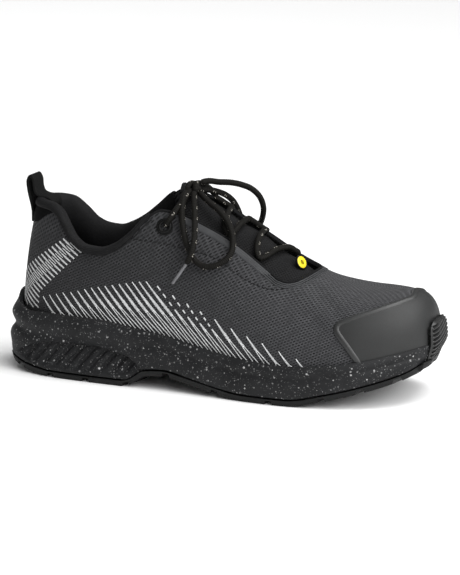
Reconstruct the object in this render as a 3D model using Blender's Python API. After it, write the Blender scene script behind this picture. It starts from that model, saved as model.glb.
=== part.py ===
"""Low safety shoe for the right foot, built as a maker would put it together.

The last runs along +X from heel to toe, +Y is the inner (medial) side, +Z is up and the
tread stands on z = 0. All sizes are in millimetres and become metres where a mesh is made.
"""

import math
from collections import namedtuple

import bmesh
import bpy
import numpy as np
from mathutils import Vector

MM = 0.001

# Driving dimensions
SOLE_LENGTH = 297.0
BUMPER_THICKNESS = 2.7
SHOE_LENGTH = SOLE_LENGTH + BUMPER_THICKNESS + 0.3
SEAT_GAP = 0.4
END_POWER = 2.5
STATION_COUNT = 62
SOLE_STATION_COUNT = 44

WALL = 2.4
COLLAR_WALL = 6.5
COLLAR_PAD_DEPTH = 26.0
RIB_STEPS = 10

TREAD_DEPTH = 3.0
PLATE_THICKNESS = 5.0
LIP_THICKNESS = 2.0
LIP_HEIGHT = 1.6

INSOLE_THICKNESS = 4.0
TONGUE_THICKNESS = 5.0
TONGUE_TOP = 128.0
TONGUE_FRONT = 222.0
TONGUE_DEPTH = 3.1
TONGUE_ANGLE = math.radians(64)
TONGUE_TUCK = math.radians(11)
TONGUE_ROWS = 16
TONGUE_COLUMNS = 6
TOE_CAP_THICKNESS = 1.8

UPPER_HEEL_INSET = 9.1
UPPER_SIDE_INSET = 5.2
UPPER_TOE_INSET = 2.4
HEEL_CROWN_X = 42.5
HEEL_BLEND_X = 86.0
MIDDLE_BLEND_X = 160.0
TOE_BLEND_X = 230.0
TOE_CROWN_X = 274.0

# Plan of the sole: half-widths of the straight form, which round off at heel and toe
Plan = namedtuple("Plan", "x lateral medial centre")
PLAN = [
    Plan(0, 52.0, 52.0, 0.0),
    Plan(75, 44.5, 43.0, 0.0),
    Plan(120, 43.5, 36.0, 0.0),
    Plan(150, 46.5, 36.5, 0.0),
    Plan(180, 51.5, 43.0, 0.5),
    Plan(210, 56.5, 51.5, 1.2),
    Plan(240, 60.0, 58.0, 2.8),
    Plan(270, 62.0, 60.5, 4.8),
    Plan(300, 63.0, 61.0, 7.0),
]

# Heights along the sole: tread, foot bed and top edge of the midsole
Profile = namedtuple("Profile", "x bottom floor rim")
PROFILE = [
    Profile(0, 7.0, 29.0, 49.0),
    Profile(10, 4.6, 28.6, 45.5),
    Profile(22, 2.2, 28.2, 42.2),
    Profile(42, 0.0, 28.0, 42.9),
    Profile(75, 0.0, 27.2, 42.6),
    Profile(96, 0.0, 26.0, 40.3),
    Profile(110, 8.0, 25.0, 38.5),
    Profile(124, 9.2, 23.5, 36.5),
    Profile(145, 5.5, 20.5, 32.5),
    Profile(165, 1.8, 18.0, 29.2),
    Profile(182, 0.0, 16.5, 27.2),
    Profile(213, 0.0, 15.5, 25.9),
    Profile(235, 4.2, 17.5, 27.4),
    Profile(260, 10.5, 23.0, 30.9),
    Profile(283, 17.8, 29.0, 35.8),
    Profile(297, 24.0, 33.0, 38.2),
]

# Crown of the last: height, shift towards the inner side and fullness of the cross-section
Crown = namedtuple("Crown", "x height shift fullness")
CROWN = [
    Crown(0, 150.0, 0.0, 2.0),
    Crown(72, 150.0, 0.0, 2.1),
    Crown(100, 143.0, 3.0, 2.0),
    Crown(128, 128.5, 6.0, 1.95),
    Crown(145, 119.0, 7.0, 1.9),
    Crown(170, 105.0, 7.5, 1.9),
    Crown(198, 88.5, 6.0, 1.9),
    Crown(212, 81.0, 4.5, 1.95),
    Crown(228, 74.8, 3.0, 2.1),
    Crown(250, 70.6, 1.0, 2.5),
    Crown(275, 70.2, 0.0, 2.9),
    Crown(297, 70.2, 0.0, 3.2),
]

# Top edge of the upper seen from the side: heel, collar, eyestay and the front of the throat
Edge = namedtuple("Edge", "x lateral medial")
EDGE = [
    Edge(0, 113.0, 113.0),
    Edge(22, 113.0, 113.0),
    Edge(34, 112.6, 110.8),
    Edge(42, 109.5, 103.5),
    Edge(49, 101.0, 95.5),
    Edge(56, 92.5, 92.2),
    Edge(65, 87.8, 91.2),
    Edge(75, 87.2, 94.7),
    Edge(85, 90.5, 100.5),
    Edge(96, 99.0, 109.0),
    Edge(106, 110.0, 117.5),
    Edge(115, 115.0, 122.0),
    Edge(126, 113.0, 122.0),
    Edge(145, 105.5, 115.8),
    Edge(168, 94.0, 102.0),
    Edge(183, 84.5, 93.0),
    Edge(197, 75.5, 84.0),
]
THROAT_FRONT = 213.0
THROAT_ROUND = 16.0
THROAT_STATIONS = [201.0, 205.5, 209.0, 211.4, 212.6, 213.0]

# Wall of the midsole from its foot to its rim: lift above the foot, then share of the height that is
# left, and how far the wall stands inside the plan at the sides and at the toe
WallStep = namedtuple("WallStep", "lift share inset toe_inset")
MIDSOLE_WALL = [
    WallStep(0.0, 0.00, 2.4, 2.4),
    WallStep(1.7, 0.00, 2.4, 2.4),
    WallStep(2.3, 0.00, 0.6, 0.6),
    WallStep(2.3, 0.22, 0.0, 0.0),
    WallStep(2.3, 0.45, 0.6, 0.2),
    WallStep(2.3, 0.60, 1.8, 0.4),
    WallStep(2.3, 0.78, 1.4, 0.4),
    WallStep(2.3, 1.00, 3.2, 0.6),
]

# Transverse grooves between the main lugs, by their place along the sole
GROOVES = [15, 40, 67, 97, 126, 162, 201, 236, 260, 281]
GROOVE_WIDTH = 4.0
GROOVE_DRAFT = 0.8
GROOVE_BOW = 6.0
LUG_SPLITS = [0.33, 0.67]
LUG_SPLIT_WIDTH = 0.05

# Front wrap of the outsole over the toe
BUMPER_START = 0.986
BUMPER_TOP = 55.0
BUMPER_STEP = 0.0012
BUMPER_SHOULDER = 7.0
BUMPER_LEAN = 1.8

# Top eyelets, by the place of their rib along the sole and their height
EYELET_X = 121.5
EYELET_Z = 105.0
EYELET_RADIUS = 4.6
EYELET_HOLE = 2.3
EYELET_THICKNESS = 1.4

# Lace: a zigzag of crossings between the edges of the throat, then the bow
LACE_RADIUS = 2.0
LACE_CLEARANCE = 0.5
LACE_SIDES = 8
LACE_STEPS = 2

# The lace's run over the tongue from the front: -1 is the throat's lateral edge, 1 its medial one
ThroatPlace = namedtuple("ThroatPlace", "x share")
LACE_RUN = [
    ThroatPlace(197.2, 0.85),
    ThroatPlace(195.2, 0.5),
    ThroatPlace(191.8, 0.0),
    ThroatPlace(188.3, -0.45),
    ThroatPlace(185.0, -0.85),
    ThroatPlace(182.0, -1.0),
    ThroatPlace(179.2, -0.88),
    ThroatPlace(177.6, -0.5),
    ThroatPlace(177.3, 0.0),
    ThroatPlace(177.4, 0.5),
    ThroatPlace(176.3, 0.88),
    ThroatPlace(173.5, 1.0),
    ThroatPlace(170.6, 0.85),
    ThroatPlace(168.6, 0.45),
    ThroatPlace(167.0, 0.0),
    ThroatPlace(165.4, -0.5),
    ThroatPlace(163.4, -0.88),
    ThroatPlace(160.6, -1.0),
    ThroatPlace(157.8, -0.88),
    ThroatPlace(156.4, -0.5),
    ThroatPlace(156.1, 0.0),
    ThroatPlace(156.2, 0.5),
    ThroatPlace(155.1, 0.88),
    ThroatPlace(152.3, 1.0),
    ThroatPlace(149.5, 0.85),
    ThroatPlace(147.6, 0.45),
    ThroatPlace(146.0, 0.0),
]

# Bow and ends of the lace as they lie in the photo, each point a place on the cord's line
LacePoint = namedtuple("LacePoint", "x y z")
KNOT = LacePoint(130.0, -2.5, 127.4)
KNOT_RADII = LacePoint(5.0, 4.4, 3.6)
LATERAL_LOOP = [
    LacePoint(134.6, -4.6, 125.4),
    LacePoint(138.5, -6.8, 123.2),
    LacePoint(144.0, -8.5, 119.5),
    LacePoint(151.5, -10.5, 115.0),
    LacePoint(158.5, -13.5, 108.5),
    LacePoint(163.5, -18.5, 101.0),
    LacePoint(165.5, -24.0, 93.5),
    LacePoint(163.5, -28.0, 88.0),
    LacePoint(158.0, -31.0, 84.0),
    LacePoint(151.5, -32.5, 82.5),
    LacePoint(145.5, -32.5, 84.0),
    LacePoint(140.0, -31.5, 89.0),
    LacePoint(135.5, -29.5, 97.0),
    LacePoint(132.0, -26.0, 105.5),
    LacePoint(129.0, -20.5, 114.0),
    LacePoint(126.8, -12.5, 122.6),
    LacePoint(127.3, -6.6, 126.2),
]
LATERAL_END = [
    LacePoint(131.9, -7.1, 126.0),
    LacePoint(134.5, -13.0, 121.0),
    LacePoint(138.0, -20.5, 112.5),
    LacePoint(141.0, -28.0, 104.5),
    LacePoint(142.5, -34.0, 96.5),
    LacePoint(141.5, -37.0, 89.5),
    LacePoint(139.0, -37.5, 84.5),
]
LATERAL_TIP = [LacePoint(138.8, -37.7, 84.0), LacePoint(134.5, -38.9, 77.5), LacePoint(130.0, -39.8, 71.0)]
MEDIAL_LOOP = [
    LacePoint(133.8, -0.2, 131.0),
    LacePoint(138.0, 4.2, 131.6),
    LacePoint(143.5, 8.0, 130.6),
    LacePoint(151.0, 11.0, 130.2),
    LacePoint(157.5, 14.0, 128.6),
    LacePoint(163.2, 17.0, 125.7),
    LacePoint(167.5, 20.5, 120.0),
    LacePoint(168.5, 24.5, 112.0),
    LacePoint(165.5, 29.0, 103.0),
    LacePoint(160.5, 32.0, 96.5),
    LacePoint(154.5, 32.0, 96.0),
    LacePoint(151.5, 29.0, 102.0),
    LacePoint(150.5, 24.5, 109.5),
    LacePoint(149.0, 19.0, 116.5),
    LacePoint(145.5, 13.5, 121.5),
    LacePoint(140.5, 8.0, 124.5),
    LacePoint(136.0, 4.5, 125.6),
    LacePoint(132.5, 1.5, 125.8),
]
MEDIAL_END = [
    LacePoint(128.4, 2.7, 129.3),
    LacePoint(130.5, 9.5, 128.4),
    LacePoint(134.0, 17.0, 123.5),
    LacePoint(135.5, 23.0, 117.0),
    LacePoint(136.5, 27.5, 109.0),
    LacePoint(136.5, 30.0, 100.5),
    LacePoint(135.5, 31.5, 92.5),
]
MEDIAL_TIP = [LacePoint(135.3, 31.7, 92.0), LacePoint(133.0, 33.0, 84.5), LacePoint(130.5, 34.0, 77.0)]
TIP_RADIUS = 1.9

# Round tag at the front of the throat
TAG_CENTRE = LacePoint(204.2, 0.2, 83.1)
TAG_NORMAL = (0.42, -0.5, 0.76)
TAG_RADIUS = 4.4
TAG_THICKNESS = 1.2

# Rear outline of the toe cap seen from the side
CAP_OUTLINE = [(258, 20), (243, 50), (245, 54.5), (271, 63.5), (280, 66.5), (284, 80), (320, 80), (320, 20)]

# Heel pull loop: the strip's line seen from the side
LoopPoint = namedtuple("LoopPoint", "x z")
LOOP_LINE = [
    LoopPoint(13.85, 98.0),
    LoopPoint(13.8, 108.0),
    LoopPoint(12.8, 118.5),
    LoopPoint(12.3, 125.0),
    LoopPoint(14.4, 128.5),
    LoopPoint(16.5, 125.4),
    LoopPoint(16.9, 121.0),
    LoopPoint(18.2, 116.9),
    LoopPoint(21.8, 115.0),
    LoopPoint(26.3, 114.4),
    LoopPoint(29.2, 112.8),
    LoopPoint(29.9, 109.6),
    LoopPoint(28.4, 105.8),
    LoopPoint(26.8, 102.5),
]
LOOP_WIDTH = 15.0
LOOP_THICKNESS = 1.6
BUMPER_MARGIN = 0.3
BOW_FULL_WIDTH = 100.0
SPLIT_REACH = 0.6
SPLIT_MIN_WIDTH = 40
LUG_DRAFT_SHARE = 0.014
TREAD_INSET = 0.8
PLATE_INSET = 0.2
COLLAR_PAD_FRONT = 112.0
COLLAR_PAD_FADE = 20.0
INSOLE_GAP = 0.5
INSOLE_FOOT_INSET = 0.6
INSOLE_TOP_INSET = 0.8
INSOLE_SHOULDER = 0.7
CAP_BACK_X = 226
CAP_STEPS = 14
CAP_CUTTER_REACH = 80.0
EYELET_LIFT = 0.2
EYELET_RIM_BEVEL = 0.5
EYELET_HOLE_BEVEL = 0.4
EYELET_SIDES = 20
TAG_SIDES = 24
LACE_EDGE_GAP = 1.0
KNOT_RINGS = 6
KNOT_SIDES = 12
RUBBER_COLOUR = (0.012, 0.012, 0.013)
FOAM_COLOUR = (0.02, 0.02, 0.022)
KNIT_COLOUR = (0.05, 0.05, 0.055)
INSOLE_COLOUR = (0.03, 0.03, 0.03)
TONGUE_COLOUR = (0.03, 0.03, 0.032)
CAP_COLOUR = (0.03, 0.031, 0.031)
WEBBING_COLOUR = (0.012, 0.012, 0.012)
EYELET_COLOUR = (0.01, 0.01, 0.01)
TAG_COLOUR = (0.9, 0.72, 0.02)
LACE_COLOUR = (0.02, 0.018, 0.016)
TIP_COLOUR = (0.4, 0.4, 0.42)


def monotone_curve(xs, ys):
    """Smooth curve through the points that never overshoots them."""
    count = len(xs)
    steps = [xs[i + 1] - xs[i] for i in range(count - 1)]
    slopes = [(ys[i + 1] - ys[i]) / steps[i] for i in range(count - 1)]
    tangents = [slopes[0]]
    for i in range(1, count - 1):
        before, after = slopes[i - 1], slopes[i]
        if before * after <= 0:
            tangents.append(0.0)
        else:
            w1 = 2 * steps[i] + steps[i - 1]
            w2 = steps[i] + 2 * steps[i - 1]
            tangents.append((w1 + w2) / (w1 / before + w2 / after))
    tangents.append(slopes[-1])

    def value(x):
        x = min(max(x, xs[0]), xs[-1])
        i = max(k for k in range(count - 1) if k == 0 or xs[k] <= x)
        h = steps[i]
        u = (x - xs[i]) / h
        rest = 1 - u
        return (
            ys[i] * rest * rest * (1 + 2 * u)
            + tangents[i] * h * u * rest * rest
            + ys[i + 1] * u * u * (3 - 2 * u)
            - tangents[i + 1] * h * u * u * rest
        )

    return value


def columns(rows):
    """One smooth function of x for each named column of a table."""
    xs = [row.x for row in rows]
    return {name: monotone_curve(xs, [getattr(row, name) for row in rows]) for name in rows[0]._fields[1:]}


plan = columns(PLAN)
profile = columns(PROFILE)
crown = columns(CROWN)
edge = columns(EDGE)


def end_round(t):
    return max(0.0, 1 - abs(2 * t - 1) ** END_POWER) ** (1 / END_POWER)


def plan_point(t, side, heel_inset, side_inset, toe_inset):
    """Point of the outline: t runs from heel to toe, side is -1 lateral and +1 medial."""
    x = heel_inset + (SOLE_LENGTH - heel_inset - toe_inset) * t
    form = plan["lateral" if side < 0 else "medial"](x) - side_inset
    return x, plan["centre"](x) + side * form * end_round(t)


def arc_table(count=4000):
    """Share of the way round the lateral outline, from heel to toe, for finely spaced t."""
    fine = (1 - np.cos(np.linspace(0, math.pi, count))) / 2
    line = np.array([plan_point(t, -1, 0, 0, 0) for t in fine])
    steps = np.hypot(*np.diff(line, axis=0).T)
    arc = np.concatenate([[0.0], np.cumsum(steps)])
    return fine, arc / arc[-1]


FINE_T, FINE_ARC = arc_table()


def t_at(s):
    return float(np.interp(s, FINE_ARC, FINE_T))


def s_at_x(x):
    return float(np.interp(x / SOLE_LENGTH, FINE_T, FINE_ARC))


def even_stations(count):
    """Shares s that are evenly spaced along the rounded outline."""
    return [i / (count - 1) for i in range(count)]


def outline_middle():
    """Half-way between the outermost points of the two sides."""
    sides = [[plan_point(i / 400, side, 0, 0, 0)[1] for i in range(401)] for side in (-1, 1)]
    return (min(sides[0]) + max(sides[1])) / 2


MIDDLE = Vector((SHOE_LENGTH / 2, outline_middle(), 0.0))


def to_world(point):
    return (Vector(point) - MIDDLE) * MM


def new_object(name, mesh, colour, roughness):
    obj = bpy.data.objects.new(name, mesh)
    bpy.context.scene.collection.objects.link(obj)
    obj.parent = shoe
    material = bpy.data.materials.new(name)
    material.use_nodes = True
    shader = material.node_tree.nodes["Principled BSDF"]
    shader.inputs["Base Color"].default_value = (*colour, 1.0)
    shader.inputs["Roughness"].default_value = roughness
    mesh.materials.append(material)
    mesh.shade_smooth()
    mesh.set_sharp_from_angle(angle=math.radians(40))
    return obj


def mesh_from(name, points, faces):
    """Mesh in metres with its doubled points merged and its faces pointing out."""
    work = bmesh.new()
    made = [work.verts.new(to_world(p)) for p in points]
    for face in faces:
        work.faces.new([made[i] for i in face])
    bmesh.ops.remove_doubles(work, verts=work.verts, dist=0.002 * MM)
    bmesh.ops.dissolve_degenerate(work, edges=work.edges, dist=0.001 * MM)
    bmesh.ops.recalc_face_normals(work, faces=work.faces)
    mesh = bpy.data.meshes.new(name)
    work.to_mesh(mesh)
    work.free()
    return mesh


def ring(stations, place):
    """Closed loop of points: along the lateral side to the toe and back along the medial side."""
    lateral = [place(t, -1) for t in stations]
    medial = [place(t, 1) for t in stations]
    return lateral + medial[-2:0:-1]


def stacked_solid(name, stations, rings, first_cap, last_cap):
    """Closed solid from loops stacked on each other. A cap lists the shares across the sole
    of its inner columns, and a function that gives their points."""
    count = len(stations)
    size = 2 * (count - 1)
    points = [p for loop in rings for p in loop]
    faces = []
    for level in range(len(rings) - 1):
        for i in range(size):
            j = (i + 1) % size
            a, b = level * size, (level + 1) * size
            faces.append((a + i, a + j, b + j, b + i))
    for level, (shares, place) in ((0, first_cap), (len(rings) - 1, last_cap)):
        base = level * size
        rows = []
        for i in range(count):
            left = base + i
            right = base + (size - i) % size
            row = [left]
            for share in shares if left != right else []:
                row.append(len(points))
                points.append(place(i, share, points[left], points[right]))
            row.append(right)
            rows.append(row)
        for low, high in zip(rows, rows[1:]):
            faces += strip_faces(low, high)
    return mesh_from(name, points, faces)


def strip_faces(low, high):
    """Faces between two rows of points, where an end row may be a single point twice."""
    if low[0] == low[-1]:
        return [(low[0], a, b) for a, b in zip(high, high[1:])]
    if high[0] == high[-1]:
        return [(a, b, high[0]) for a, b in zip(low, low[1:])]
    return [(low[k], low[k + 1], high[k + 1], high[k]) for k in range(len(low) - 1)]


PLAIN_CAP = ([], None)


SEAT_X = [t_at(i / (SOLE_STATION_COUNT - 1)) * SOLE_LENGTH for i in range(SOLE_STATION_COUNT)]
SEAT_Z = [profile["bottom"](x) + PLATE_THICKNESS for x in SEAT_X]


def seat_height(x):
    """Top of the tread plate, straight between the sole's stations so that the midsole sits flat on it."""
    return float(np.interp(x, SEAT_X, SEAT_Z))


def outsole():
    """Rubber tread with lugs, a low lip round the midsole and a wrap over the toe."""
    stations = outsole_stations()
    depths = [groove_depth(t) for t in stations]

    def outset(t):
        return (BUMPER_THICKNESS + BUMPER_MARGIN) * step_up(t, BUMPER_START - BUMPER_STEP)

    def lip_top(t, x):
        low = seat_height(x) + LIP_HEIGHT
        return low + (BUMPER_TOP - low) * step_up(t, BUMPER_START)

    def loop(extra_inset, height):
        def place(t, side):
            inset = extra_inset - outset(t)
            x, y = plan_point(t, side, extra_inset, inset, inset)
            return (x, y, height(t, x))

        return ring(stations, place)

    def tread(t, x):
        return profile["bottom"](x) + TREAD_DEPTH * groove_depth(t)

    def bumper_edge(extra_inset):
        def place(t, side):
            inset = extra_inset - outset(t) + BUMPER_LEAN * step_up(t, BUMPER_START)
            x, y = plan_point(t, side, extra_inset, inset, inset)
            return (x, y, lip_top(t, x))

        return ring(stations, place)

    def shoulder(t, x):
        return max(seat_height(x) + LIP_HEIGHT / 2, lip_top(t, x) - BUMPER_SHOULDER)

    def lug_point(i, share, left, right):
        x = left[0] + (right[0] - left[0]) * share
        y = left[1] + (right[1] - left[1]) * share
        width = abs(right[1] - left[1])
        bow = GROOVE_BOW * math.sin(math.pi * share) * min(1.0, width / BOW_FULL_WIDTH)
        split = any(abs(share - s) < SPLIT_REACH * LUG_SPLIT_WIDTH for s in LUG_SPLITS)
        depth = 1.0 if split and width > SPLIT_MIN_WIDTH else depths[i]
        return (x + bow, y, profile["bottom"](x) + TREAD_DEPTH * depth)

    lug_shares = [0.5]
    for middle in LUG_SPLITS:
        half = LUG_SPLIT_WIDTH / 2
        low, high = middle - half, middle + half
        lug_shares += [low - LUG_DRAFT_SHARE, low, high, high + LUG_DRAFT_SHARE]
    lug_shares.sort()

    def plate_top(_, x):
        return seat_height(x)

    rings = [
        loop(TREAD_INSET, tread),
        loop(PLATE_INSET, plate_top),
        loop(0.0, shoulder),
        bumper_edge(0.0),
        bumper_edge(LIP_THICKNESS),
        loop(LIP_THICKNESS, shoulder),
        loop(LIP_THICKNESS, plate_top),
    ]
    mesh = stacked_solid("outsole", stations, rings, (lug_shares, lug_point), PLAIN_CAP)
    return new_object("outsole", mesh, RUBBER_COLOUR, 0.62)


def step_up(t, start):
    """0 along the sides, 1 on the toe wrap, with a short steep step between them."""
    share = (t - start) / BUMPER_STEP
    return min(max(share, 0.0), 1.0)


def groove_depth(t):
    """1 in a groove between lugs, 0 on a lug."""
    x = t * SOLE_LENGTH
    return 1.0 if any(abs(x - g) <= GROOVE_WIDTH / 2 + 0.01 for g in GROOVES) else 0.0


def outsole_stations():
    """Rounded ends, both edges of every groove and the edges of the toe wrap."""
    found = {0.0, 1.0, BUMPER_START - BUMPER_STEP, BUMPER_START, BUMPER_START + BUMPER_STEP}
    half = GROOVE_WIDTH / 2
    for g in GROOVES:
        for d in (-half - GROOVE_DRAFT, -half, half, half + GROOVE_DRAFT):
            found.add((g + d) / SOLE_LENGTH)
    for t in [t_at(s) for s in even_stations(SOLE_STATION_COUNT)]:
        x = t * SOLE_LENGTH
        on_groove = any(abs(x - g) < half + GROOVE_DRAFT + 1.0 for g in GROOVES)
        near_wrap = abs(t - BUMPER_START) < 1.5 * BUMPER_STEP
        if not on_groove and not near_wrap:
            found.add(t)
    return sorted(found)


def midsole():
    """Foam cup: wall with a flared foot, rim, inner wall round the upper and the foot bed."""
    stations = even_stations(SOLE_STATION_COUNT)

    def wall_loop(step):
        def place(s, side):
            x, y = plan_point(t_at(s), side, step.inset, step.inset, step.toe_inset)
            low = seat_height(x) + SEAT_GAP + step.lift
            return (x, y, low + (profile["rim"](x) - low) * step.share)

        return ring(stations, place)

    def inner_loop(height):
        def place(s, side):
            x, y = upper_plan(s, side, -SEAT_GAP)
            return (x, y, height(x))

        return ring(stations, place)

    rings = [wall_loop(step) for step in MIDSOLE_WALL]
    rings += [inner_loop(profile["rim"]), inner_loop(profile["floor"])]
    mesh = stacked_solid("midsole", stations, rings, PLAIN_CAP, PLAIN_CAP)
    return new_object("midsole", mesh, FOAM_COLOUR, 0.7)


def upper_plan(s, side, inset):
    """Outline of the upper where it meets the sole."""
    insets = (UPPER_HEEL_INSET + inset, UPPER_SIDE_INSET + inset, UPPER_TOE_INSET + inset)
    return plan_point(t_at(s), side, *insets)


crown_x = monotone_curve(
    [0.0, s_at_x(HEEL_BLEND_X), s_at_x(MIDDLE_BLEND_X), s_at_x(TOE_BLEND_X), 1.0],
    [HEEL_CROWN_X, HEEL_BLEND_X, MIDDLE_BLEND_X, TOE_BLEND_X, TOE_CROWN_X],
)


def skin(s, side, angle):
    """Outer surface of the closed last: angle 0 at the feather line, a right angle at the crown.
    The ribs lean inwards at heel and toe."""
    x, y = upper_plan(s, side, 0.0)
    foot = Vector((x, y, profile["floor"](x) + SEAT_GAP))
    top_x = crown_x(s)
    top = Vector((top_x, plan["centre"](top_x) + crown["shift"](top_x), crown["height"](top_x)))
    power = 2 / crown["fullness"](x)
    reach = max(0.0, math.cos(angle)) ** power
    rise = math.sin(angle) ** power
    flat = top + (foot - top) * reach
    return Vector((flat.x, flat.y, foot.z + (top.z - foot.z) * rise))


def skin_normal(s, side, angle):
    step = 1e-3
    a0, a1 = max(angle - step, 0.0), min(angle + step, math.pi / 2)
    s0, s1 = max(s - step, 0.0), min(s + step, 1.0)
    along = skin(s1, side, angle) - skin(s0, side, angle)
    up = skin(s, side, a1) - skin(s, side, a0)
    return (along.cross(up) * -side).normalized()


def offset_skin(s, side, angle, distance):
    return skin(s, side, angle) + skin_normal(s, side, angle) * distance


def edge_angle(s, side):
    """Angle at which the rib meets the top edge of the upper, or a right angle on the vamp."""
    x = upper_plan(s, side, 0.0)[0]
    if x >= THROAT_FRONT - 0.01:
        return math.pi / 2
    start = THROAT_FRONT - THROAT_ROUND
    if x > start:
        straight = s_at_upper_x(start)
        edge_y = skin(straight, side, table_angle(straight, side)).y
        reach = abs(edge_y - skin(straight, side, math.pi / 2).y)
        return angle_at_reach(s, side, reach * math.sqrt(1 - ((x - start) / THROAT_ROUND) ** 2))
    return table_angle(s, side)


def table_angle(s, side):
    """Angle at which the rib reaches the height that the edge table gives."""
    limit = edge["lateral" if side < 0 else "medial"]
    return rising_angle(lambda angle: skin(s, side, angle), lambda point: point.z >= limit(point.x))


def angle_at_reach(s, side, reach):
    """Angle of the rib's point that lies the given distance sideways from the crown."""
    crown_y = skin(s, side, math.pi / 2).y
    return rising_angle(lambda angle: skin(s, side, angle), lambda point: abs(point.y - crown_y) <= reach)


def rising_angle(point_at, passed):
    """Smallest angle along a rib at which a test that stays true begins to hold."""
    low, high = 0.0, math.pi / 2
    for _ in range(40):
        middle = (low + high) / 2
        if passed(point_at(middle)):
            high = middle
        else:
            low = middle
    return high


def s_at_upper_x(x):
    """Station of the rib whose foot lies at x."""
    low, high = 0.0, 1.0
    for _ in range(50):
        middle = (low + high) / 2
        if upper_plan(middle, -1, 0.0)[0] < x:
            low = middle
        else:
            high = middle
    return high


def upper():
    """Knitted upper: one wall, thicker in the padded collar, open at collar, throat and sole."""
    throat = [s_at_upper_x(x) for x in THROAT_STATIONS]
    near = 0.4 / STATION_COUNT
    stations = [s for s in even_stations(STATION_COUNT) if s < throat[0] - near or s > throat[-1] + near]
    stations = sorted(stations + throat)
    count = len(stations)
    points, faces, padding = [], [], []
    for side in (-1, 1):
        for s in stations:
            top = edge_angle(s, side)
            for k in range(RIB_STEPS + 1):
                point = skin(s, side, top * k / RIB_STEPS)
                points.append(point)
                padding.append(collar_padding(point, skin(s, side, top).z))
    row = RIB_STEPS + 1
    for side in (0, 1):
        for i in range(count - 1):
            for k in range(RIB_STEPS):
                a = (side * count + i) * row + k
                faces.append((a, a + 1, a + row + 1, a + row))
    mesh = mesh_from("upper", points, faces)
    obj = new_object("upper", mesh, KNIT_COLOUR, 0.85)
    group = obj.vertex_groups.new(name="padding")
    for vertex in mesh.vertices:
        place = vertex.co / MM + MIDDLE
        nearest = min(range(len(points)), key=lambda i: (points[i] - place).length_squared)
        group.add([vertex.index], padding[nearest], "REPLACE")
    wall = obj.modifiers.new("wall", "SOLIDIFY")
    wall.thickness = COLLAR_WALL * MM
    wall.offset = -1
    wall.use_even_offset = True
    wall.vertex_group = "padding"
    wall.thickness_vertex_group = WALL / COLLAR_WALL
    return obj


def collar_padding(point, top):
    """1 at the padded collar edge, 0 in the plain wall and at the eyestay."""
    below = max(0.0, 1 - (top - point.z) / COLLAR_PAD_DEPTH)
    front = min(1.0, max(0.0, (COLLAR_PAD_FRONT - point.x) / COLLAR_PAD_FADE))
    return front * below * below * (3 - 2 * below)


def insole():
    """Removable foot bed inside the wall of the upper."""
    stations = even_stations(SOLE_STATION_COUNT)

    def loop(inset, lift):
        def place(s, side):
            x, y = upper_plan(s, side, WALL + INSOLE_GAP + inset)
            return (x, y, profile["floor"](x) + SEAT_GAP + lift)

        return ring(stations, place)

    rings = [
        loop(INSOLE_FOOT_INSET, 0.0),
        loop(0.0, INSOLE_THICKNESS * INSOLE_SHOULDER),
        loop(INSOLE_TOP_INSET, INSOLE_THICKNESS),
    ]
    mesh = stacked_solid("insole", stations, rings, PLAIN_CAP, PLAIN_CAP)
    return new_object("insole", mesh, INSOLE_COLOUR, 0.9)


def tongue():
    """Padded tongue: it tucks under both edges of the throat and stands above the eyestay."""
    rows = [TONGUE_TOP + (TONGUE_FRONT - TONGUE_TOP) * i / TONGUE_ROWS for i in range(TONGUE_ROWS + 1)]

    def grid(depth):
        lines = []
        for x in rows:
            s = s_at_upper_x(x)
            line = []
            for k in range(-TONGUE_COLUMNS, TONGUE_COLUMNS + 1):
                side = -1 if k < 0 else 1
                low = min(edge_angle(s, side), TONGUE_ANGLE) - TONGUE_TUCK
                angle = math.pi / 2 - (math.pi / 2 - low) * abs(k) / TONGUE_COLUMNS
                line.append(offset_skin(s, side, angle, -depth))
            lines.append(line)
        return lines

    mesh = shell_grid("tongue", grid(TONGUE_DEPTH), grid(TONGUE_DEPTH + TONGUE_THICKNESS))
    return new_object("tongue", mesh, TONGUE_COLOUR, 0.9)


def shell_grid(name, grid_out, grid_in):
    """Closed solid between two grids of the same size."""
    rows, row = len(grid_out), len(grid_out[0])
    points = [p for line in grid_out for p in line] + [p for line in grid_in for p in line]
    half = rows * row
    faces = []
    for i in range(rows - 1):
        for k in range(row - 1):
            a = i * row + k
            faces.append((a, a + 1, a + row + 1, a + row))
            faces.append((half + a, half + a + row, half + a + row + 1, half + a + 1))
    border = [k for k in range(row)]
    border += [i * row + row - 1 for i in range(1, rows)]
    border += [(rows - 1) * row + k for k in range(row - 2, -1, -1)]
    border += [i * row for i in range(rows - 2, 0, -1)]
    for a, b in zip(border, border[1:] + border[:1]):
        faces.append((a, half + a, half + b, b))
    return mesh_from(name, points, faces)


def toe_cap():
    """Abrasion cap over the toe, cut from a shell that follows the upper."""
    stations = [s for s in even_stations(STATION_COUNT) if s > s_at_x(CAP_BACK_X)]
    steps = CAP_STEPS

    def grid(distance):
        lines = []
        for side, order in ((-1, stations), (1, stations[-2::-1])):
            for s in order:
                low = rim_angle(s, side)
                angles = [low + (math.pi / 2 - low) * k / steps for k in range(steps + 1)]
                lines.append([offset_skin(s, side, a, distance) for a in angles])
        return lines

    mesh = shell_grid("toe_cap", grid(SEAT_GAP + TOE_CAP_THICKNESS), grid(SEAT_GAP))
    obj = new_object("toe_cap", mesh, CAP_COLOUR, 0.5)
    cutter = side_prism("toe_cap_outline", CAP_OUTLINE, CAP_CUTTER_REACH)
    cut = obj.modifiers.new("outline", "BOOLEAN")
    cut.operation = "INTERSECT"
    cut.object = cutter
    return obj


def rim_angle(s, side):
    """Angle at which a rib rises out of the midsole's rim."""
    return rising_angle(
        lambda angle: skin(s, side, angle),
        lambda point: point.z >= profile["rim"](point.x) + SEAT_GAP,
    )


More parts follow.
